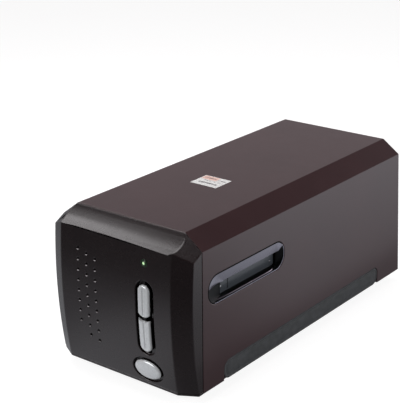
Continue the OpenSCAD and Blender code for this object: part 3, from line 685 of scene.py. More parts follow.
@dataclass(frozen=True)
class PrintedLabel:
    """A white film label with a warm block and grey bars in place of words.

    The block and the bars are given as shares of the label: from and to across, then up.
    """

    name: str
    centre: Span
    size: Span
    warm: tuple[float, ...] = (0.03, 0.60, 0.62, 0.97)
    bars: tuple[tuple[float, ...], ...] = (
        (0.16, 0.86, 0.22, 0.34),
        (0.10, 0.52, 0.76, 0.84),
        (0.22, 0.92, 0.50, 0.55),
        (0.62, 0.93, 0.70, 0.78),
    )

    def make(self) -> Material:
        """Builds the material.

        Returns:
            The material.
        """
        s = Finish(self.name, Coat_Weight=0.3, Coat_Roughness=0.2)
        u = (s.place()["x"] / MM - self.centre[0]) / self.size[0] + 0.5
        v = (s.place()["y"] / MM - self.centre[1]) / self.size[1] + 0.5

        def block(u0: float, u1: float, v0: float, v1: float) -> Number:
            """1 inside a block given as shares of the label's width and depth."""
            return (u > u0) * (u < u1) * (v > v0) * (v < v1)

        warm = block(*self.warm)
        bars = block(*self.bars[0])
        for span in self.bars[1:]:
            bars = bars.most(block(*span))
        broken = s.noise(1.1, 1.0, (1.0, 0.25, 1.0)).step(0.36, 0.5)
        paper = s.mix(s.noise(4.0, 3.0), (0.80, 0.80, 0.79), (0.88, 0.88, 0.87))
        tinted = s.mix(warm * 0.75, paper, (0.86, 0.46, 0.36))
        s.set(
            Base_Color=s.mix(bars * broken * 0.85, tinted, (0.10, 0.10, 0.11)),
            Roughness=0.34 + s.noise(2.5, 3.0) * 0.12,
            Normal=s.relief(s.noise(3.0, 2.0), 0.02),
        )
        return s.material


# ---------------------------------------------------------------- mesh helpers


def surface(
    name: str,
    points: np.ndarray,
    material: Material,
    closed: bool = True,
    smooth_angle: float = 40.0,
) -> Piece:
    """Makes a mesh from a grid of points.

    Each quad joins neighbours of the grid: vertex (i, j) is row i and column j, and the
    columns run round. Points that coincide, such as a pole's, are merged.

    Args:
        name: Name of the piece.
        points: Array of rows x columns x 3, in millimetres.
        material: The finish.
        closed: Whether the last column joins the first.
        smooth_angle: Edges that turn more than this stay sharp, in degrees.

    Returns:
        The new object, linked to the scene.
    """
    rows, cols = points.shape[:2]
    index = np.arange(rows * cols).reshape(rows, cols)
    if closed:
        index = np.concatenate([index, index[:, :1]], axis=1)
    quads = np.stack([index[:-1, :-1], index[:-1, 1:], index[1:, 1:], index[1:, :-1]], -1)
    mesh = bpy.data.meshes.new(name)
    mesh.from_pydata((points.reshape(-1, 3) * MM).tolist(), [], quads.reshape(-1, 4).tolist())
    work = bmesh.new()
    work.from_mesh(mesh)
    bmesh.ops.remove_doubles(work, verts=work.verts, dist=1e-6)
    bmesh.ops.dissolve_degenerate(work, edges=work.edges, dist=1e-7)
    if closed or np.allclose(points[0], points[-1]):
        bmesh.ops.recalc_face_normals(work, faces=work.faces)
    work.to_mesh(mesh)
    work.free()
    return placed(name, mesh, material, smooth_angle)


def placed(
    name: str, mesh: bpy.types.Mesh, material: Material, smooth_angle: float
) -> Piece:
    """Links a finished mesh to the scene with smooth shading.

    Args:
        name: Name of the piece.
        mesh: Its mesh.
        material: The finish.
        smooth_angle: Edges that turn more than this stay sharp, in degrees.

    Returns:
        The new object.
    """
    mesh.materials.clear()
    mesh.materials.append(material)
    piece = bpy.data.objects.new(name, mesh)
    bpy.context.scene.collection.objects.link(piece)
    mesh.polygons.foreach_set("use_smooth", np.ones(len(mesh.polygons), bool))
    mesh.set_sharp_from_angle(angle=math.radians(smooth_angle))
    return piece


def edge_room(mesh: bpy.types.Mesh, limit: float) -> tuple[np.ndarray, np.ndarray]:
    """Which edges are sharp, and how wide a bevel each of them has room for.

    An edge is sharp where the arc cosine of its two faces' normals is over the limit. At a
    face's corner of angle a, a bevel that meets the next one may use under half of the shorter
    edge times tan(a / 2). One that slides along a smooth edge may use most of its length times
    sin(a).

    Args:
        mesh: The mesh.
        limit: The least angle of a sharp edge, in degrees.

    Returns:
        Whether each edge is sharp, and its room in metres.
    """
    count, polygons = len(mesh.loops), len(mesh.polygons)
    vertex, edge = np.empty(count, int), np.empty(count, int)
    mesh.loops.foreach_get("vertex_index", vertex)
    mesh.loops.foreach_get("edge_index", edge)
    start, total = np.empty(polygons, int), np.empty(polygons, int)
    mesh.polygons.foreach_get("loop_start", start)
    mesh.polygons.foreach_get("loop_total", total)
    normal, at = np.empty(polygons * 3), np.empty(len(mesh.vertices) * 3)
    mesh.polygons.foreach_get("normal", normal)
    mesh.vertices.foreach_get("co", at)
    owner = np.repeat(np.arange(polygons), total)
    step = np.arange(count) - start[owner]
    after = start[owner] + (step + 1) % total[owner]
    before = start[owner] + (step - 1) % total[owner]
    normal, at = normal.reshape(-1, 3)[owner], at.reshape(-1, 3)[vertex]
    order = np.argsort(edge, kind="stable")
    uses = np.bincount(edge, minlength=len(mesh.edges))
    first = np.concatenate([[0], np.cumsum(uses)[:-1]])
    pair = uses == 2
    one, two = order[first[pair]], order[first[pair] + 1]
    sharp = np.zeros(len(mesh.edges), bool)
    sharp[pair] = (normal[one] * normal[two]).sum(1) < math.cos(math.radians(limit))
    out, back = at[after] - at, at[before] - at
    long_out, long_back = np.linalg.norm(out, axis=1), np.linalg.norm(back, axis=1)
    cos = np.clip((out * back).sum(1) / (long_out * long_back), -1.0, 1.0)
    sin = np.sqrt(1.0 - cos**2)
    reflex = (np.cross(out, back) * normal).sum(1) < 0.0
    half_turn = sin / np.maximum(1.0 + cos, 1e-9)
    both = np.where(reflex, np.inf, 0.45 * np.minimum(long_out, long_back) * half_turn)
    room = np.full(len(mesh.edges), np.inf)
    edge_in = edge[before]
    np.minimum.at(room, edge, np.where(sharp[edge_in], both, 0.85 * long_back * sin))
    np.minimum.at(room, edge_in, np.where(sharp[edge], both, 0.85 * long_out * sin))
    return sharp, room


@dataclass(frozen=True)
class Softening:
    """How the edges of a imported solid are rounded: a bevel as wide as each edge has room for."""

    width: float
    limit: float = 25.0
    segments: int = 3

    def copy(self, node: str, name: str, material: Material) -> Piece:
        """Makes a softened copy of a node.

        Args:
            node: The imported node.
            name: Name of the new piece.
            material: The finish.

        Returns:
            The new piece. The node isn't changed.
        """
        mesh = frame_node(node).data.copy()
        mesh.name = name
        work = bmesh.new()
        work.from_mesh(mesh)
        bmesh.ops.remove_doubles(work, verts=work.verts, dist=5e-6)
        bmesh.ops.dissolve_limit(
            work, angle_limit=math.radians(0.35), verts=work.verts, edges=work.edges
        )
        work.to_mesh(mesh)
        work.free()
        sharp, room = edge_room(mesh, self.limit)
        share = np.minimum(room / (self.width * MM), 1.0)
        weight = np.where(sharp & (share > 0.04), share, 0.0)
        layer = mesh.attributes.new("bevel_weight_edge", "FLOAT", "EDGE")
        layer.data.foreach_set("value", weight.astype(np.float32))
        piece = placed(name, mesh, material, 60.0)
        bevel = piece.modifiers.new("edges", "BEVEL")
        bevel.width = self.width * MM
        bevel.segments = self.segments
        bevel.limit_method = "WEIGHT"
        bevel.use_clamp_overlap = False
        flat = piece.modifiers.new("flats", "WEIGHTED_NORMAL")
        flat.keep_sharp = True
        flat.weight = 100
        return piece


FRAME: dict = {}


def frame_node(name: str) -> Piece:
    """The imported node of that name."""
    return FRAME["nodes"][name]


def body_of(node: str) -> str:
    """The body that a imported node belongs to."""
    bodies = FRAME["record"]["behaviour"]["bodies"]
    return next(body for body, members in bodies.items() if node in members)


def node_slots() -> dict[str, str]:
    """The record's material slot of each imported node."""
    return {row["node"]: row["material_slot"] for row in FRAME["record"]["subparts"]}


def stand_in(piece: Piece, *nodes: str) -> Piece:
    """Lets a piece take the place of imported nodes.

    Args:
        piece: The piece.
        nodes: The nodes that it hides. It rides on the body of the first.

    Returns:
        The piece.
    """
    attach(piece, body_of(nodes[0]))
    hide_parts(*nodes)
    log.info("%s stands for %s", piece.name, ", ".join(nodes))
    return piece


def turned(
    profile: np.ndarray, base: Point, axis: str, columns: int = 48
) -> np.ndarray:
    """A profile turned about an axis: point (r, h) goes round a circle of radius r at height h.

    Args:
        profile: Pairs of radius and height, in millimetres.
        base: Where the axis starts, in millimetres.
        axis: Direction of the height, such as "z" or "-y".
        columns: Steps round the circle.

    Returns:
        A grid of points.
    """
    angle = np.linspace(0, 2 * np.pi, columns, endpoint=False)
    r, h = profile[:, :1], profile[:, 1:]
    return along(np.stack([r * np.cos(angle), r * np.sin(angle), h + 0 * angle], -1), base, axis)


def along(grid: np.ndarray, base: Point, axis: str) -> np.ndarray:
    """Turns a grid whose third number is a height so that the height runs along an axis.

    Args:
        grid: Rows x columns x 3.
        base: Where the height starts, in millimetres.
        axis: Direction of the height, such as "z" or "-y".

    Returns:
        The turned grid.
    """
    order = {"z": (0, 1, 2), "y": (0, 2, 1), "x": (2, 0, 1)}[axis[-1]]
    placed_grid = grid.copy()
    placed_grid[..., 2] *= -1 if axis[0] == "-" else 1
    return placed_grid[..., order] + np.array(base)


def round_rect(
    low: Span, high: Span, radius: float, corner: int = 10
) -> np.ndarray:
    """Outline of a rectangle with round corners.

    Each corner is its centre plus the radius times (cos a, sin a) for a quarter turn, and each
    side is walked in even steps to the next corner.

    Args:
        low: Its least u and v.
        high: Its greatest u and v.
        radius: Radius of the corners.
        corner: Steps in a corner, and in a side.

    Returns:
        Array of points x 2, anticlockwise from the right end of the upper right corner's arc.
    """
    (u0, v0), (u1, v1) = np.add(low, radius), np.subtract(high, radius)
    centre = np.array([[u1, v1], [u0, v1], [u0, v0], [u1, v0]])[:, None]
    angle = np.linspace(0, np.pi / 2, corner + 1) + np.arange(4)[:, None] * np.pi / 2
    arcs = centre + radius * np.stack([np.cos(angle), np.sin(angle)], -1)
    share = np.linspace(0, 1, corner + 1)[1:-1, None]
    start, end = arcs[:, -1:], np.roll(arcs, -1, axis=0)[:, :1]
    return np.concatenate([arcs, start + (end - start) * share], axis=1).reshape(-1, 2)


def joined(name: str, grids: list[np.ndarray], material: Material) -> Piece:
    """One piece from several grids, each a closed skin of its own.

    Args:
        name: Name of the piece.
        grids: The grids.
        material: The finish.

    Returns:
        The new object.
    """
    parts = [surface(f"{name}_{i}", grid, material) for i, grid in enumerate(grids)]
    work = bmesh.new()
    for part in parts:
        work.from_mesh(part.data)
        bpy.data.objects.remove(part)
    mesh = bpy.data.meshes.new(name)
    work.to_mesh(mesh)
    work.free()
    return placed(name, mesh, material, 40.0)


# ---------------------------------------------------------------- the scanner's sizes


@dataclass(frozen=True)
class Layout:
    """Sizes shared with the construction model, in millimetres."""

    front_y: float = -137.4
    stem_end_y: float = -128.4
    stem_r: float = 2.0
    bow_r: float = 360.0
    bow_z: float = 72.0
    panel_x: float = 25.6

    def bow(self, z: np.ndarray | float) -> np.ndarray | float:
        """Depth of the front face behind its frontmost line: a circle's sagitta at height z."""
        return self.bow_r - np.sqrt(self.bow_r**2 - (z - self.bow_z) ** 2)


AT = Layout()


class Side(Enum):
    """A side of the scanner, with the sign of its x."""

    RIGHT = 1
    LEFT = -1

    @property
    def word(self) -> str:
        """How pieces and nodes on this side are called."""
        return self.name.lower()


# ---------------------------------------------------------------- sub-assemblies


@dataclass
class Housing:
    """Cover, bezel, base plate, rear panel and label."""

    cover: SatinPaint = SatinPaint("cover_paint", (0.029, 0.0110, 0.0125), (0.13, 0.09, 0.09))
    # the bezel's paint is the cover's paint made darker: painted shade for the front, which the
    # lamps light less
    bezel: SatinPaint = SatinPaint(
        "bezel_paint", (0.0085, 0.0045, 0.0048), (0.05, 0.04, 0.04), rough=0.27
    )
    rear: Moulded = Moulded("rear_plastic", (0.018, 0.017, 0.017))
    label: PrintedLabel = PrintedLabel("label_film", (0.0, -32.5), (22.6, 18.7))

    def build(self) -> None:
        """Makes the softened shells and dresses the label."""
        cover, bezel, rear = self.cover.make(), self.bezel.make(), self.rear.make()
        for node, name, width, finish in (
            ("top_cover", "cover_shell", 0.5, cover),
            ("front_bezel", "bezel_shell", 0.7, bezel),
            ("base_tray", "base_plate", 0.4, bezel),
            ("rear_panel", "rear_plate", 0.3, rear),
        ):
            stand_in(Softening(width).copy(node, name, finish), node)
        wear("top_label", self.label.make())


def wear(node: str, material: Material) -> None:
    """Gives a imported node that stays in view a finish.

    Args:
        node: The node.
        material: The finish.
    """
    frame_node(node).data.materials.clear()
    frame_node(node).data.materials.append(material)
    log.info("%s wears %s", node, material.name)


@dataclass
class RubberParts:
    """The two side strips and the four feet.

    A strip has a rounded edge and a shallow groove, whose places are insets from its outline.
    """

    finish: Rubber = Rubber("strip_rubber", (0.046, 0.049, 0.052))
    strip_x: Span = (58.6, 59.7)
    strip_y: Span = (-96.7, 104.9)
    strip_z: Span = (8.0, 22.2)
    corner: float = 6.0
    edge_r: float = 0.55
    groove: tuple[float, ...] = (1.6, 1.9, 2.5, 2.8)
    groove_deep: float = 0.18
    field_inset: float = 5.0
    spine_y: Span = (-88.0, 96.0)
    foot_x: float = 36.0
    foot_y: Span = (-103.4, 105.0)
    foot_r: float = 9.0
    foot_h: float = 8.0
    stud_r: float = 3.0
    stud_h: float = 2.0

    def build(self) -> None:
        """Makes the strips and the feet."""
        rubber = self.finish.make()
        for side in Side:
            self.strip(side, rubber)
        for end, y in zip(("front", "rear"), self.foot_y):
            for side in Side:
                place = (side.value * self.foot_x, y, 0.0)
                grid = turned(self.foot_profile(), place, "z", 64)
                piece = surface(f"{end}_{side.word}_foot", grid, rubber)
                stand_in(piece, f"foot_{end}_{side.word}")

    def strip(self, side: Side, rubber: Material) -> None:
        """Makes one strip: its outline shrinks over a quarter round, then over the groove.

        Args:
            side: Where it is.
            rubber: The finish.
        """
        (x0, x1), edge = self.strip_x, self.edge_r
        angle = np.linspace(0, np.pi / 2, 6)
        inset = [0.0, *(edge * (1 - np.cos(angle))), *self.groove, self.field_inset]
        low = x1 - self.groove_deep
        depth = [x0, x0, *(x1 - edge + edge * np.sin(angle)), x1, low, low, x1, x1, x1]
        rows = [
            round_rect(
                (self.strip_y[0] + d, self.strip_z[0] + d),
                (self.strip_y[1] - d, self.strip_z[1] - d),
                max(self.corner - d, 0.4),
            )
            for d in inset
        ]
        spine_z = sum(self.strip_z) / 2
        middle = np.clip(rows[-1], (self.spine_y[0], spine_z), (self.spine_y[1], spine_z))
        rows = [level(row, side.value * x) for row, x in zip([middle, *rows, middle], depth)]
        piece = surface(f"{side.word}_strip", np.stack(rows), rubber)
        stand_in(piece, f"{side.word}_side_strip")

    def foot_profile(self) -> np.ndarray:
        """Half section of a foot: a hollowed sole, a rounded rim and the stud on top.

        Returns:
            Pairs of radius and height.
        """
        r, h, bend, worn, hollow = self.foot_r, self.foot_h, 0.8, 0.3, 0.9
        angle = np.linspace(-np.pi / 2, 0, 6)
        rim = np.stack([r - bend + bend * np.cos(angle), bend + bend * np.sin(angle)], 1)
        sole = [[0.0, hollow], [r - 4.0, hollow], [r - 3.2, 0.0]]
        top = [[r, h - worn], [r - worn, h], [self.stud_r, h]]
        end = h + self.stud_h
        stud = [[self.stud_r, end - worn], [self.stud_r - worn, end], [0.0, end]]
        return np.array([*sole, *rim, *top, *stud])


def level(outline: np.ndarray, x: float) -> np.ndarray:
    """An outline of pairs (y, z) set at one x."""
    return np.concatenate([np.full((len(outline), 1), x), outline], 1)


@dataclass
class ScanButton:
    """One of the two scan buttons: a crowned strip with a fine groove along its middle.

    The outline is a strip with round ends. Where the buttons meet, the upper one ends in
    an arc and the lower one is hollowed by a larger arc with the same centre. The groove and
    the dot are given by their half width and their depth.
    """

    name: str
    upper: bool
    stem_z: float
    dot_z: float
    low: float = 35.3
    high: float = 83.4
    tip_z: float = 66.356
    tip_r: float = 5.856
    gap: float = 2.7
    half: float = 4.8
    proud: float = 1.36
    round_r: float = 1.5
    back: float = 2.7
    crown: float = 0.22
    groove: Span = (0.45, 0.5)
    groove_past: float = 3.0
    dot: Span = (0.42, 0.35)

    def outline(self, count: int) -> np.ndarray:
        """Points round the button: a strip with round ends, cut by the arc between the buttons.

        Args:
            count: How many points.

        Returns:
            Array of count x 2 with sideways place from the middle and height.
        """
        half = self.half
        straight = self.high - self.low - 2 * half
        arc = np.pi * half
        s = np.linspace(0, 2 * straight + 2 * arc, count, endpoint=False)
        a = np.clip(s / half, 0, np.pi)
        b = np.clip((s - arc - straight) / half, 0, np.pi)
        down = np.clip(s - arc, 0, straight)
        up = np.clip(s - 2 * arc - straight, 0, straight)
        x = np.where(s >= arc + straight, -half * np.cos(b), half * np.cos(a))
        z = self.high - half + half * np.sin(a) - down
        z = np.where(s >= arc + straight, self.low + half - half * np.sin(b) + up, z)
        if self.upper:
            edge = self.tip_z - np.sqrt(np.maximum(self.tip_r**2 - x**2, 0))
            z = np.maximum(z, edge)
        else:
            radius = self.tip_r + self.gap
            z = np.minimum(z, self.tip_z - np.sqrt(radius**2 - x**2))
        return np.stack([x, z], 1)

    def build(self, paint: Material) -> None:
        """Makes the button as rings that shrink from the outline to the spine.

        A ring lies at a share of the way to the spine. Its depth follows the bow of the
        front, a quarter circle at the rim, a low crown, a groove along the spine and a dot.
        Behind the rim, rings go down the side and on to the round stem.

        Args:
            paint: The finish.
        """
        rim = self.outline(176)
        top = self.high - self.half if self.upper else self.tip_z - self.tip_r - self.gap - 1.2
        bottom = self.tip_z - self.tip_r + self.half * 0.9 if self.upper else self.low + self.half
        spine = np.stack([0 * rim[:, 0], np.clip(rim[:, 1], bottom, top)], 1)
        reach = np.linalg.norm(rim - spine, axis=1)
        r = self.round_r
        angles = np.linspace(0, np.pi / 2, 8)
        inset = np.concatenate([[0.0], r * (1 - np.cos(angles))])
        lift = np.concatenate([[-self.back], r * (np.sin(angles) - 1)])
        toward = ((spine - rim) / reach[:, None])[None]
        edge = rim[None] + toward * inset[:, None, None]
        share = np.linspace(0, 1, 15)[1:]
        face = edge[-1] + (spine - edge[-1]) * share[:, None, None]
        flat = np.concatenate([edge, face])
        out = np.concatenate([lift, self.crown * (1 - (1 - share) ** 2)])[:, None] + 0 * reach
        x, z = flat[..., 0], flat[..., 1]
        ends = (z > bottom - self.groove_past) & (z < top + self.groove_past)
        front = np.clip((out + r) / r, 0, 1)
        (line_w, line_deep), (dot_w, dot_deep) = self.groove, self.dot
        out = out - line_deep * np.exp(-((x / line_w) ** 2)) * ends * front
        out = out - dot_deep * np.exp(-(x**2 + (z - self.dot_z) ** 2) / dot_w**2)
        y = AT.front_y + AT.bow(z) - self.proud - out
        grid = np.stack([x + AT.panel_x, y, z], -1)
        grid = np.concatenate([stem(len(rim), self.stem_z, grid[0]), grid])
        stand_in(surface(f"{self.name}_cap", grid, paint, smooth_angle=50), self.name)


def stem(columns: int, height: float, back: np.ndarray) -> np.ndarray:
    """Rings of a button's round stem, from the middle of its end to where it meets the button.

    Args:
        columns: Points in a ring.
        height: Height of the stem's middle.
        back: The button's last ring.

    Returns:
        Rings x points x 3.
    """
    angle = np.linspace(0, 2 * np.pi, columns, endpoint=False)
    root = back[:, 1].max()
    radius = np.array([[0.0], [AT.stem_r], [AT.stem_r]])
    y = np.array([[AT.stem_end_y], [AT.stem_end_y], [root]]) + 0 * angle
    x = AT.panel_x + radius * np.cos(angle)
    return np.stack([x, y, height + radius * np.sin(angle)], -1)


@dataclass
class PowerButton:
    """The oval button, with a broad rounded shoulder."""

    mid_x: float = 24.4
    mid_z: float = 20.8
    half_x: float = 11.25
    half_z: float = 7.05
    proud: float = 1.42
    round_r: float = 2.3
    back: float = 2.7
    crown: float = 0.35

    def build(self, paint: Material) -> None:
        """Makes the button from ellipses that shrink towards its middle.

        Args:
            paint: The finish.
        """
        turn = np.linspace(0, 2 * np.pi, 128, endpoint=False)
        angles = np.linspace(0, np.pi / 2, 8)
        r = self.round_r
        inset = np.concatenate([[0.0], r * (1 - np.cos(angles))])
        share = np.linspace(0, 1, 17)[1:]
        size = np.concatenate([1 - inset / self.half_z, (1 - r / self.half_z) * (1 - share)])
        face = self.crown * (1 - (1 - share) ** 2)
        out = np.concatenate([[-self.back], r * (np.sin(angles) - 1), face])
        x = self.half_x * size[:, None] * np.cos(turn)
        z = self.mid_z + self.half_z * size[:, None] * np.sin(turn)
        y = AT.front_y + AT.bow(z) - self.proud - out[:, None]
        grid = np.stack([x + self.mid_x, y, z], -1)
        grid = np.concatenate([stem(len(turn), self.mid_z, grid[0]), grid])
        stand_in(surface("power_button_cap", grid, paint, smooth_angle=50), "power_button")


@dataclass
class FrontPanel:
    """The three buttons, the status light and the lips below the vent holes, whose pale colour is
    a painted glint.

    Places along the light's axis are heights over the face of the bezel.
    """

    light_z: float = 98.2
    light_r: float = 1.6
    light_end: float = -13.1
    flange_r: float = 2.2
    flange: Span = (-9.4, -8.4)
    dome: Span = (-0.25, 0.55)
    ring: Span = (1.75, 2.75)
    vent_at: Span = (-32.1, 94.8)
    vent_pitch: Span = (7.6, 7.5)
    vent_fall: float = 2.2
    vent_counts: tuple[int, ...] = (8, 9, 9)
    vent_r: float = 0.8
    lip_gap: float = 0.2
    lip_r: float = 0.42
    lip_arc: Span = (215.0, 335.0)

    def build(self) -> None:
        """Makes the buttons, the light and the vents' lips."""
        silver = SilverPaint("button_silver", (0.90, 0.925, 0.95)).make()
        ScanButton("upper_scan_button", True, 71.95, 78.5).build(silver)
        ScanButton("lower_scan_button", False, 47.9, 39.9).build(silver)
        PowerButton().build(silver)
        light = (AT.panel_x, AT.front_y + AT.bow(self.light_z), self.light_z)
        self.lens(light)
        self.collar(light)
        self.vents()

    def lens(self, place: Point) -> None:
        """Makes the light's pipe with its flange and its domed lens.

        Args:
            place: Where the light's axis meets the face.
        """
        r, wide, end, (near, far) = self.light_r, self.flange_r, self.light_end, self.flange
        pipe = [[0.0, end], [r, end], [r, near], [wide, near], [wide, far], [r, far]]
        angles = np.linspace(0, np.pi / 2, 9)
        base, height = self.dome
        dome = np.stack([r * np.cos(angles), height * np.sin(angles) + base], 1)
        centre = tuple(np.add(place, (-0.3, -0.3, -0.1)).tolist())
        glow = Glow("light_lens", (0.004, 0.03, 0.008), (0.66, 1.0, 0.54), 1.0, centre, 1.75)
        grid = turned(np.concatenate([pipe, dome]), place, "-y")
        stand_in(surface("status_lens", grid, glow.make()), "status_light")

    def collar(self, place: Point) -> None:
        """Makes a thin tinted ring round the light: a flat band with a rounded section.

        Args:
            place: Where the light's axis meets the face.
        """
        tint = Moulded("light_collar", (0.004, 0.022, 0.006), rough=0.35).make()
        bend = np.linspace(0, np.pi, 8)
        inner, outer = self.ring
        middle, half, root, rim = (inner + outer) / 2, (outer - inner) / 2, -0.2, 0.08
        section = np.stack([middle + half * np.cos(bend), 0.12 * np.sin(bend) + rim], 1)
        low = np.array([[inner, root], [outer, root], [outer, rim]])
        profile = np.concatenate([low, section, low[:1]])
        ring = surface("light_collar", turned(profile, place, "-y"), tint)
        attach(ring, "housing")

    def vents(self) -> None:
        """Makes a lip below each vent hole, painted pale as a glint.

        A lip follows the lower part of a circle round the hole. Its section is a half round
        that swells from nothing at both ends to its full size in the middle.
        """
        # the lips' pale colour is a painted glint
        pale = VentLip("vent_lip", (0.52, 0.48, 0.50), 22.0, 60.0).make()
        start, end = np.radians(self.lip_arc)
        turn = np.linspace(start, end, 9)[:, None]
        swell = self.lip_r * np.maximum(np.sin(np.linspace(0, np.pi, 9)), 0.02)[:, None]
        around = np.linspace(0, 2 * np.pi, 8, endpoint=False)
        reach = self.vent_r + self.lip_gap + swell * np.cos(around)
        out = 0.6 * swell * np.sin(around)
        lip = np.stack([reach * np.cos(turn), out, reach * np.sin(turn)], -1)
        lip[[0, -1]] = lip[[0, -1]].mean(1, keepdims=True)
        (x, z), (across, down) = self.vent_at, self.vent_pitch
        holes = [
            (x + column * across, z - column * self.vent_fall - row * down)
            for column, count in enumerate(self.vent_counts)
            for row in range(count)
        ]
        grids = [lip + np.array([x, AT.front_y + AT.bow(z), z]) for x, z in holes]
        piece = joined("vent_lips", grids, pale)
        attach(piece, "housing")


@dataclass
class FilmSlot:
    """The lining, its painted highlights and painted shade, and the door's leaves of one slot.

    Places along a slot are pairs (y, z) on the right side. A grid is mirrored at the end. A
    zone is where a change of the slot's section starts and where it is complete, in y or z.
    The bead is given by its share of the way to the mouth, its width and its height.
    """

    side: Side
    finish: dict[str, Material]
    pocket_y: Span = (-114.1, -27.4)
    pocket_z: Span = (67.7, 88.8)
    pocket_r: float = 10.0
    channel_y: Span = (-95.5, -32.0)
    channel_z: Span = (68.9, 80.2)
    rim_x: float = 59.65
    mouth_x: float = 55.0
    inner_x: float = 53.7
    top_fall: float = 2.2
    front_zone: Span = (-94.0, -102.0)
    rear_zone: Span = (-42.0, -34.0)
    top_zone: Span = (77.0, 83.0)
    floor_zone: Span = (69.5, 68.7)
    bead_zone: Span = (-112.0, -103.0)
    bead: Point = (0.3, 0.05, 0.5)
    skin: float = 0.25
    door_x: float = 53.2
    leaf_z: Span = (69.9, 81.4)
    leaves_y: tuple[Span, ...] = ((-96.3, -85.0), (-84.3, -31.2))
    leaf_h: float = 0.16
    joint_y: Span = (-85.05, -84.25)
    joint_h: float = 0.04
    rivets: tuple[Span, ...] = ((-92.5, 73.7), (-35.9, 72.6))
    rivet_r: float = 0.75

    def build(self) -> None:
        """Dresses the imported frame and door, and makes what lies over them."""
        wear(f"{self.side.word}_slot_frame", self.finish["black"])
        wear(f"{self.side.word}_dust_door", self.finish["leaf"])
        self.lining()
        self.trims()
        self.seals()
        self.door_face()

    def rim(self, inset: float) -> np.ndarray:
        """Outline of the pocket.

        Args:
            inset: How far inside the pocket's edge, in millimetres.

        Returns:
            Pairs (y, z).
        """
        low = (self.pocket_y[0] + inset, self.pocket_z[0] + inset)
        high = (self.pocket_y[1] - inset, self.pocket_z[1] - inset)
        return round_rect(low, high, self.pocket_r - inset)

    def bowl(self, share: np.ndarray, lift: float) -> np.ndarray:
        """Rings of a slot's inside between the pocket's rim, at share 0, and its mouth, at 1.

        A ring is the mix of the rim's and the mouth's outlines by its share. It sinks in
        proportion to the share below, by the square at the front, by the fifth power at the
        rear, and above only by a little. A bead runs along the bottom at a third of the way.

        Args:
            share: Shares of the rings.
            lift: How far they're lifted off the surface, in millimetres.

        Returns:
            Rings x points x 3.
        """
        start = self.rim(0.8)
        mouth = round_rect(*zip(self.channel_y, self.channel_z), 1.0)
        s = share[:, None]
        ring = start + (mouth - start) * s[..., None]
        deep = self.rim_x - self.mouth_x
        y, z = start.T
        front, rear = eased(y, self.front_zone), eased(y, self.rear_zone)
        top, low = eased(z, self.top_zone), eased(z, self.floor_zone) * eased(y, self.bead_zone)
        fall = deep * s
        fall = fall + (deep * (1 - (1 - s) ** 2) - fall) * front
        fall = fall + (deep * (1 - (1 - s) ** 5) - fall) * rear
        fall = fall + (self.top_fall * s - fall) * top
        middle, width, height = self.bead
        bead = height * np.exp(-(((s - middle) / width) ** 2)) * low
        return np.stack([self.rim_x - fall + lift, ring[..., 0], ring[..., 1] + bead], -1)

    def stepped(self, steps: tuple[Span, ...]) -> np.ndarray:
        """Rims at pairs of an inset and a height over the side of the housing."""
        return np.stack([level(self.rim(inset), self.rim_x + height) for inset, height in steps])

    def lining(self) -> None:
        """Makes a thin skin inside the slot, with a rounded rim and close rings at the bead."""
        share = np.array([0, 6, 13, 20, 24, 27, 30, 33, 36, 40, 50, 60, 70, 80, 90, 100]) / 100
        face, back = self.bowl(share, 0.1), self.bowl(share[::-1], -0.35)
        rim = self.stepped(((0.3, -0.3), (0.3, 0.0), (0.55, 0.17)))
        mouth = face[-1, :, 1:]
        inner = np.stack([level(mouth, self.inner_x), level(mouth * 1.002, self.inner_x)])
        rows = np.concatenate([rim, face, inner, back, rim[:1]])
        self.fix("slot_lining", rows, "black", smooth_angle=32)

    def trims(self) -> None:
        """Makes pale metal bands as painted highlights: on the bevel under the upper edge and as
        two fine lines along the lower edge.
        """
        y, z = self.rim(0.8).T
        above = run((z > 84.0) | ((y < -100.0) & (z > 80.0)))
        below = run((z < 69.5) & (y > -106.0))
        outer = run((z < 69.5) | ((y > -40.0) & (z < 86.0)))
        bevel = self.bowl(np.linspace(0.0, 1.0, 9), 0.14)
        bead = self.bowl(np.linspace(0.22, 0.38, 9), 0.12)
        edge = ((0.3, -0.3), (0.3, 0.02), (0.42, 0.18), (0.55, 0.2), (0.75, 0.14), (0.8, 0.0))
        self.patch("slot_bevel", bevel[:, above], "highlight_metal")
        self.patch("slot_bead", bead[:, below], "highlight_metal")
        self.patch("slot_edge", self.stepped(edge)[:, outer], "highlight_metal")

    def seals(self) -> None:
        """Makes black felt on the shelf and the rear end as painted shade, and a black line over
        the rim as a painted shadow under its edge.
        """
        y, z = self.rim(0.8).T
        shelf = run(((z < 69.5) & (y > -104.0)) | ((y > -38.0) & (z < 82.0)))
        over = run((z > 72.0) & (y < -33.0))
        floor = self.bowl(np.array([0.42, 0.44, 0.6, 0.8, 1.0]), 0.2)[:, shelf]
        inner = floor[-1:] * (0, 1, 1) + (self.inner_x + 0.05, 0, 0)
        line = ((0.02, 0.05), (0.1, 0.25), (0.35, 0.25), (0.45, 0.15))
        self.patch("felt_seal", np.concatenate([floor, inner]), "felt")
        self.patch("line_seal", self.stepped(line)[:, over], "felt")

    def patch(self, part: str, rows: np.ndarray, finish: str) -> None:
        """Closes rows x points to a thin skin and fixes it to the housing.

        Its back lies further inside, and both ends of each row are drawn to one point.

        Args:
            part: Name of the piece, without the side.
            rows: Its face.
            finish: Name of its finish.
        """
        grid = np.concatenate([rows, rows[::-1] - (self.skin, 0, 0), rows[:1]])
        ends = [grid[:, [i]].mean(0, keepdims=True) + 0 * grid[:, [i]] for i in (0, -1)]
        self.fix(part, np.concatenate([ends[0], grid, ends[1]], 1), finish, closed=False)

    def fix(self, part: str, grid: np.ndarray, finish: str, **how: object) -> None:
        """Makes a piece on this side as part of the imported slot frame.

        Args:
            part: Name of the piece, without the side.
            grid: Its grid on the right side.
            finish: Name of its finish.
            how: What else surface() takes.
        """
        name = f"{self.side.word}_{part}"
        piece = surface(name, grid * (self.side.value, 1, 1), self.finish[finish], **how)
        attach(piece, "housing")

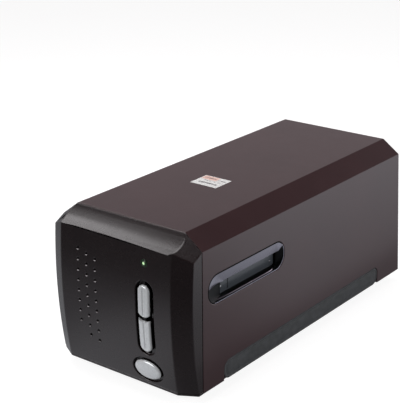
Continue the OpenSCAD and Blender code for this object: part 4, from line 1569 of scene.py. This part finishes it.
    def plate(self, span: Span, height: float) -> np.ndarray:
        """A plate on the door: its outline, the outline inset by its edge, and its middle line.

        Args:
            span: Where it starts and ends along the slot.
            height: Height of its face over the door.

        Returns:
            Its grid.
        """
        (y0, y1), (z0, z1), edge, spine = span, self.leaf_z, 0.12, 75.0
        back, top = self.door_x - 0.1, self.door_x + height
        outer = round_rect((y0, z0), (y1, z1), 0.25)
        inner = round_rect((y0 + edge, z0 + edge), (y1 - edge, z1 - edge), 0.13)
        middle = np.clip(inner, (y0 + 0.3, spine), (y1 - 0.3, spine))
        rows = ((middle, back), (outer, back), (outer, top - 0.08), (inner, top), (middle, top))
        return np.stack([level(row, x) for row, x in rows]) * (self.side.value, 1, 1)

    def door_face(self) -> None:
        """Makes two thin leaves on the door, their domed rivets and the dark joint between."""
        bend = np.linspace(0, np.pi / 2, 6)
        dome = np.stack([self.rivet_r * np.cos(bend), 0.12 + 0.13 * np.sin(bend)], 1)
        dome = np.concatenate([[[0.0, 0.0], [self.rivet_r, 0.0]], dome])
        name, sign = self.side.word, self.side.value
        axis = "x" if self.side is Side.RIGHT else "-x"
        leaves = [self.plate(span, self.leaf_h) for span in self.leaves_y]
        rivets = [turned(dome, (sign * (self.door_x + 0.02), *at), axis, 20) for at in self.rivets]
        joint = self.plate(self.joint_y, self.joint_h)
        for piece, slot in (
            (joined(f"{name}_door_leaves", leaves, self.finish["leaf"]), "door"),
            (joined(f"{name}_door_rivets", rivets, self.finish["pin"]), "steel"),
            (surface(f"{name}_door_joint", joint, self.finish["felt"]), "rubber"),
        ):
            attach(piece, f"{name}_dust_door")


class FilmSlots:
    """Both film slots."""

    def build(self) -> None:
        """Makes the finishes and dresses the slots."""
        finish = {
            # black plastic, its own colour, darkened further and dulled as painted shade in the
            # slots' scoops
            "black": Moulded("slot_black", (0.007, 0.008, 0.009), rough=0.5, gloss=0.12).make(),
            # pale metal for the painted highlights along the slots' edges
            "highlight_metal": Metal("slot_trim", (0.40, 0.39, 0.46), 0.22, depth=0.003).make(),
            "leaf": Moulded("door_plastic", (0.050, 0.057, 0.066), rough=0.36).make(),
            # black felt: the door's joint, and painted shade on the slots' shelves, rear ends and
            # upper rims
            "felt": Felt("seal_felt", (0.004, 0.004, 0.004)).make(),
            "pin": Metal("bright_pin", (0.75, 0.75, 0.76), 0.2).make(),
        }
        for side in Side:
            FilmSlot(side, finish).build()


def run(mask: np.ndarray) -> np.ndarray:
    """Indices of a mask's one run of points on a closed outline, in order from its start."""
    start = np.flatnonzero(mask & ~np.roll(mask, 1))[0]
    return (start + np.arange(mask.sum())) % len(mask)


def eased(at: np.ndarray, zone: Span) -> np.ndarray:
    """Rises smoothly from 0 at a zone's start to 1 at its end: t * t * (3 - 2 * t)."""
    t = np.clip((at - zone[0]) / (zone[1] - zone[0]), 0.0, 1.0)
    return t * t * (3.0 - 2.0 * t)


@dataclass
class Screws:
    """Screws with a domed head and a cross recess."""

    head_r: float = 2.7
    head_h: float = 1.5
    shank_r: float = 1.25
    recess_r: float = 1.55
    recess_half: float = 0.5
    recess_deep: float = 0.8
    base_at: tuple[Span, ...] = ((49.0, -124.2), (49.5, -107.8), (49.5, 117.33))
    base_z: float = 9.9
    panel_at: Point = (51.5, 127.83, 96.7)
    panel_x: Span = (12.6, 38.6)
    panel_z: Span = (45.3, 92.2)
    panel_y: float = -121.8
    board_at: Span = (50.5, 27.0)
    board_y: Span = (-3.37, 91.63)

    def build(self) -> None:
        """Makes the screws of the base, the rear panel and the boards."""
        dark = Metal("black_zinc", (0.10, 0.10, 0.11), 0.36).make()
        bright = Metal("bright_zinc", (0.56, 0.57, 0.60), 0.30).make()
        signs = [side.value for side in Side]
        base = [((s * x, y, self.base_z), "-z", 9.0) for s in signs for x, y in self.base_at]
        x, y, z = self.panel_at
        panel = [((s * x, y, z), "y", 8.0) for s in signs]
        board = [((x, self.panel_y, z), "y", 7.0) for x in self.panel_x for z in self.panel_z]
        x, z = self.board_at
        board += [((x, y, z), "-x", 4.0) for y in self.board_y]
        for kind, places, finish in (
            ("base", base, dark),
            ("panel", panel, dark),
            ("board", board, bright),
        ):
            grids = [self.screw(*place) for place in places]
            stand_in(joined(f"{kind}_screw_set", grids, finish), f"{kind}_screws")

    def screw(self, place: Point, axis: str, length: float) -> np.ndarray:
        """A screw whose head sits on a face: rings from the head's middle out and down the shank.

        The recess is as deep as the nearer of two crossing grooves allows.

        Args:
            place: Middle of the face that the head sits on.
            axis: The way the head points.
            length: Length of the shank.

        Returns:
            A grid of points.
        """
        angle = np.linspace(0, 2 * np.pi, 32, endpoint=False)
        r = np.array([0.0, 0.25, 0.45, 0.7, 1.0, 1.3, 1.5, 1.8, 2.3, self.head_r])
        h = self.head_h * np.sqrt(1 - 0.75 * (r / self.head_r) ** 2)
        x, z = r[:, None] * np.cos(angle), r[:, None] * np.sin(angle)
        cross = np.clip((self.recess_half - np.minimum(abs(x), abs(z))) / 0.2, 0, 1)
        cut = cross * np.clip((self.recess_r - r[:, None]) / 0.3, 0, 1)
        cap = np.stack([x, z, h[:, None] - self.recess_deep * cut], -1)
        s = self.shank_r
        rest = np.array([[self.head_r, 0.0], [s, 0.0], [s, 0.8 - length], [0.0, -length]])
        turns = np.stack([rest[:, :1] * np.cos(angle), rest[:, :1] * np.sin(angle)], -1)
        lower = np.concatenate([turns, rest[:, 1:, None] + 0 * turns[..., :1]], -1)
        return along(np.concatenate([cap, lower]), place, axis)


class Internals:
    """Everything behind the shells, dressed with finishes of its own."""

    def finishes(self) -> dict[str, Material]:
        """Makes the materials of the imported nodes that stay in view.

        Returns:
            A material for each of the record's slots, and one for the main board.
        """
        return {
            "circuit_board": CircuitBoard("board_across", "x").make(),
            "main_board": CircuitBoard("board_upright", "y").make(),
            "switch": Moulded("switch_body", (0.02, 0.02, 0.02), 0.45).make(),
            "switch_cap": Moulded("switch_plunger", (0.55, 0.50, 0.38), 0.4).make(),
            "steel": Metal("ground_steel", (0.62, 0.63, 0.64), 0.18, Lay.ALONG_Y).make(),
            "chassis": Moulded("chassis_plastic", (0.028, 0.028, 0.030), 0.55).make(),
            "bracket": Metal("plated_sheet", (0.60, 0.61, 0.61), 0.34, Lay.ALONG_X).make(),
            "motor": Metal("motor_can", (0.42, 0.43, 0.44), 0.38).make(),
            "brass": Metal("sintered_brass", (0.60, 0.44, 0.20), 0.42).make(),
            "white_plastic": Moulded("natural_plastic", (0.66, 0.64, 0.56), 0.4).make(),
            "belt": Belt("timing_belt").make(),
            "mirror": Optic("mirror_glass", (0.85, 0.87, 0.90), True).make(),
            "lens_barrel": Metal("black_anodised", (0.03, 0.03, 0.032), 0.4).make(),
            "lens_glass": Optic("coated_glass", (0.80, 0.88, 0.95), False).make(),
            "light_bar": Moulded("diffuser", (0.78, 0.78, 0.74), 0.45).make(),
            "port_metal": Metal("port_shell", (0.66, 0.66, 0.67), 0.26, Lay.ALONG_Y).make(),
        }

    def build(self) -> None:
        """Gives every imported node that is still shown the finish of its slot."""
        made = self.finishes()
        slots = node_slots()
        for name, node in FRAME["nodes"].items():
            slot = "main_board" if name == "main_board" else slots[name]
            if slot in made and not node.hide_render:
                wear(name, made[slot])


# ---------------------------------------------------------------- studio


@dataclass(frozen=True)
class Lamp:
    """A soft box, whose power is its radiance times pi times its area.

    Place and aim are its middle and the point that it faces. Glare is its radiance, where 1
    renders as white. Its light falls on colours also where gloss doesn't mirror it.
    """

    name: str
    place: Point
    aim: Point
    size: Span
    glare: float
    mirrored: bool = True

    def hang(self) -> None:
        """Adds the lamp to the scene."""
        data = bpy.data.lights.new(self.name, "AREA")
        data.shape = "RECTANGLE"
        data.size, data.size_y = self.size[0] * MM, self.size[1] * MM
        data.energy = self.glare * math.pi * data.size * data.size_y
        lamp = bpy.data.objects.new(self.name, data)
        bpy.context.scene.collection.objects.link(lamp)
        lamp.visible_glossy = self.mirrored
        lamp.matrix_world = stood(basis_towards(np.subtract(self.aim, self.place)), self.place)


@dataclass
class Studio:
    """Pale floor, soft lights and the camera.

    The floor and the sky are white to the camera. In reflections they are graded, as on a
    table that is lit from behind: white behind and beside the scanner, dim in front of it.
    """

    eye: Point = (489.58, -670.11, 398.19)
    right: Point = (0.788962, 0.614388, -0.008179)
    up: Point = (-0.205096, 0.275874, 0.939057)
    focal_px: float = 1204.2
    frame_px: int = 403
    sensor: float = 36.0
    albedo: float = 0.36
    floor_lift: float = 0.86
    floor_half: float = 6000.0
    card_tint: Colour = (0.93, 0.95, 1.0)
    sky_tint: Colour = (1.0, 0.90, 0.93)
    lamps: tuple[Lamp, ...] = (
        Lamp("overhead", (-60, 60, 950), (0, 0, 60), (620, 620), 3.0),
        Lamp("back_left", (-505, 70, 630), (-60, -130, 112), (290, 230), 2.7),
        Lamp("front_left", (-480, -150, 630), (-60, -130, 112), (330, 200), 1.1),
        Lamp("front_fill", (-500, -1300, 700), (0, 0, 60), (900, 900), 4.0),
        Lamp("right_fill", (1400, 100, 500), (0, 0, 60), (900, 900), 4.0, False),
    )

    def build(self) -> None:
        """Makes the floor, the world, the lamps and the camera."""
        self.floor()
        self.world()
        for lamp in self.lamps:
            lamp.hang()
        self.camera()

    def floor(self) -> None:
        """A pale plane that looks white to the camera and keeps a soft shadow.

        What gloss sees of it fades with the distance in front of the scanner, is dimmer in
        a band along its right side, a painted shadow of the scanner, and dimmer again towards the
        left.
        """
        s = Finish("floor_paper", Roughness=0.9, Specular_IOR_Level=0.0)
        grey = (self.albedo,) * 3
        s.set(Base_Color=s.mix(s.noise(300.0), grey, shade(grey, 1.02)))
        x, y = s.place()["x"] / MM, s.place()["y"] / MM
        forward = x.most(0.0) * 0.6 - y * 0.9
        behind = 0.52 * forward.step(345.0, 150.0) + 0.48 * forward.step(110.0, 0.0)
        # painted shadow of the scanner along its right side, seen only in reflections
        beside = 1.0 - 0.5 * x.step(0.0, 60.0) * x.step(325.0, 100.0)
        beside = beside * (1.0 - 0.6 * x.step(40.0, 60.0) * x.step(108.0, 86.0))
        left = 0.25 + 0.3 * x.step(-480.0, -150.0) + 0.45 * x.step(-110.0, -40.0)
        graded = 0.065 + 1.02 * behind * beside * left
        white = {"Color": (1.0, 1.0, 1.0), "Strength": self.floor_lift}
        lift = s.node("ShaderNodeEmission", inputs=white)
        lit = s.node("ShaderNodeAddShader", inputs={0: s.shader.outputs[0], 1: lift.outputs[0]})
        tinted = {"Color": self.card_tint, "Strength": graded}
        card = s.node("ShaderNodeEmission", inputs=tinted)
        shown = self.pick(s, s.seen_by("Is Camera Ray"), s.shader, lit)
        mirrored = s.seen_by("Is Glossy Ray", "Is Transmission Ray").least(1.0)
        s.show(self.pick(s, mirrored, shown, card).outputs[0])
        side = np.linspace(-self.floor_half, self.floor_half, 3)
        grid = np.stack([*np.meshgrid(side, side), np.zeros((3, 3))], -1)
        surface("floor", grid, s.material, closed=False)

    def pick(
        self, sheet: Sheet, factor: Number, low: bpy.types.Node, high: bpy.types.Node
    ) -> bpy.types.Node:
        """One of two shaders by a factor."""
        inputs = {0: factor, 1: low.outputs[0], 2: high.outputs[0]}
        return sheet.node("ShaderNodeMixShader", inputs=inputs)

    def world(self) -> None:
        """A sky that is white to the camera, and else bright only low down at the back."""
        world = bpy.data.worlds.new("studio")
        bpy.context.scene.world = world
        s = Sky(world)
        at = s.place()
        back = at["y"] * 0.8 - at["x"] * 0.6
        low = at["z"].step(0.60, 0.25) * (1.0 - 0.5 * at["z"].step(0.22, 0.06))
        rim = at["z"].step(0.24, 0.05) * (at["x"] * 0.5 + at["y"] * 0.87).step(0.75, 0.95)
        graded = 0.06 + 0.50 * low * back.step(-0.3, 0.5) + 2.2 * rim
        seen = s.seen_by("Is Camera Ray", "Is Transmission Ray").least(1.0)
        strength = graded + (1.0 - graded) * seen
        tint = s.mix(seen, self.sky_tint, (1.0, 1.0, 1.0))
        sky = s.node("ShaderNodeBackground", inputs={"Color": tint, "Strength": strength})
        s.show(sky.outputs[0])

    def camera(self) -> None:
        """The camera at the photograph's angle, its lens worked out for the 403 pixels of a 400 x
        403 frame.
        """
        data = bpy.data.cameras.new("camera")
        data.sensor_width = self.sensor
        data.lens = self.focal_px / self.frame_px * self.sensor
        data.clip_start, data.clip_end = 0.01, 50.0
        camera = bpy.data.objects.new("camera", data)
        bpy.context.scene.collection.objects.link(camera)
        right, up = np.array(self.right), np.array(self.up)
        camera.matrix_world = stood(np.stack([right, up, np.cross(right, up)], 1), self.eye)
        bpy.context.scene.camera = camera


def stood(turn: np.ndarray, place: Point) -> Matrix:
    """A matrix from three axes, as columns, and a place in millimetres."""
    rows = [[*turn[i].tolist(), place[i] * MM] for i in range(3)]
    return Matrix([*rows, [0.0, 0.0, 0.0, 1.0]])


def basis_towards(direction: np.ndarray) -> np.ndarray:
    """Axes of an object whose -Z looks along a direction.

    Args:
        direction: The direction, of any length.

    Returns:
        The axes as columns.
    """
    back = -np.asarray(direction, float)
    back /= np.linalg.norm(back)
    right = np.cross((0.0, 0.0, 1.0), back)
    right /= np.linalg.norm(right)
    return np.stack([right, np.cross(back, right), back], 1)


def main() -> None:
    """Builds the studio and the scanner."""
    logging.basicConfig(level=logging.INFO, format="%(message)s")
    for old in list(bpy.data.objects):
        bpy.data.objects.remove(old)
    FRAME.update(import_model())
    Studio().build()
    for part in (Housing(), RubberParts(), FrontPanel(), FilmSlots(), Screws(), Internals()):
        part.build()
        log.info("%s done", type(part).__name__)
    bpy.context.scene.view_settings.view_transform = "Standard"


if __name__ == "__main__":
    main()
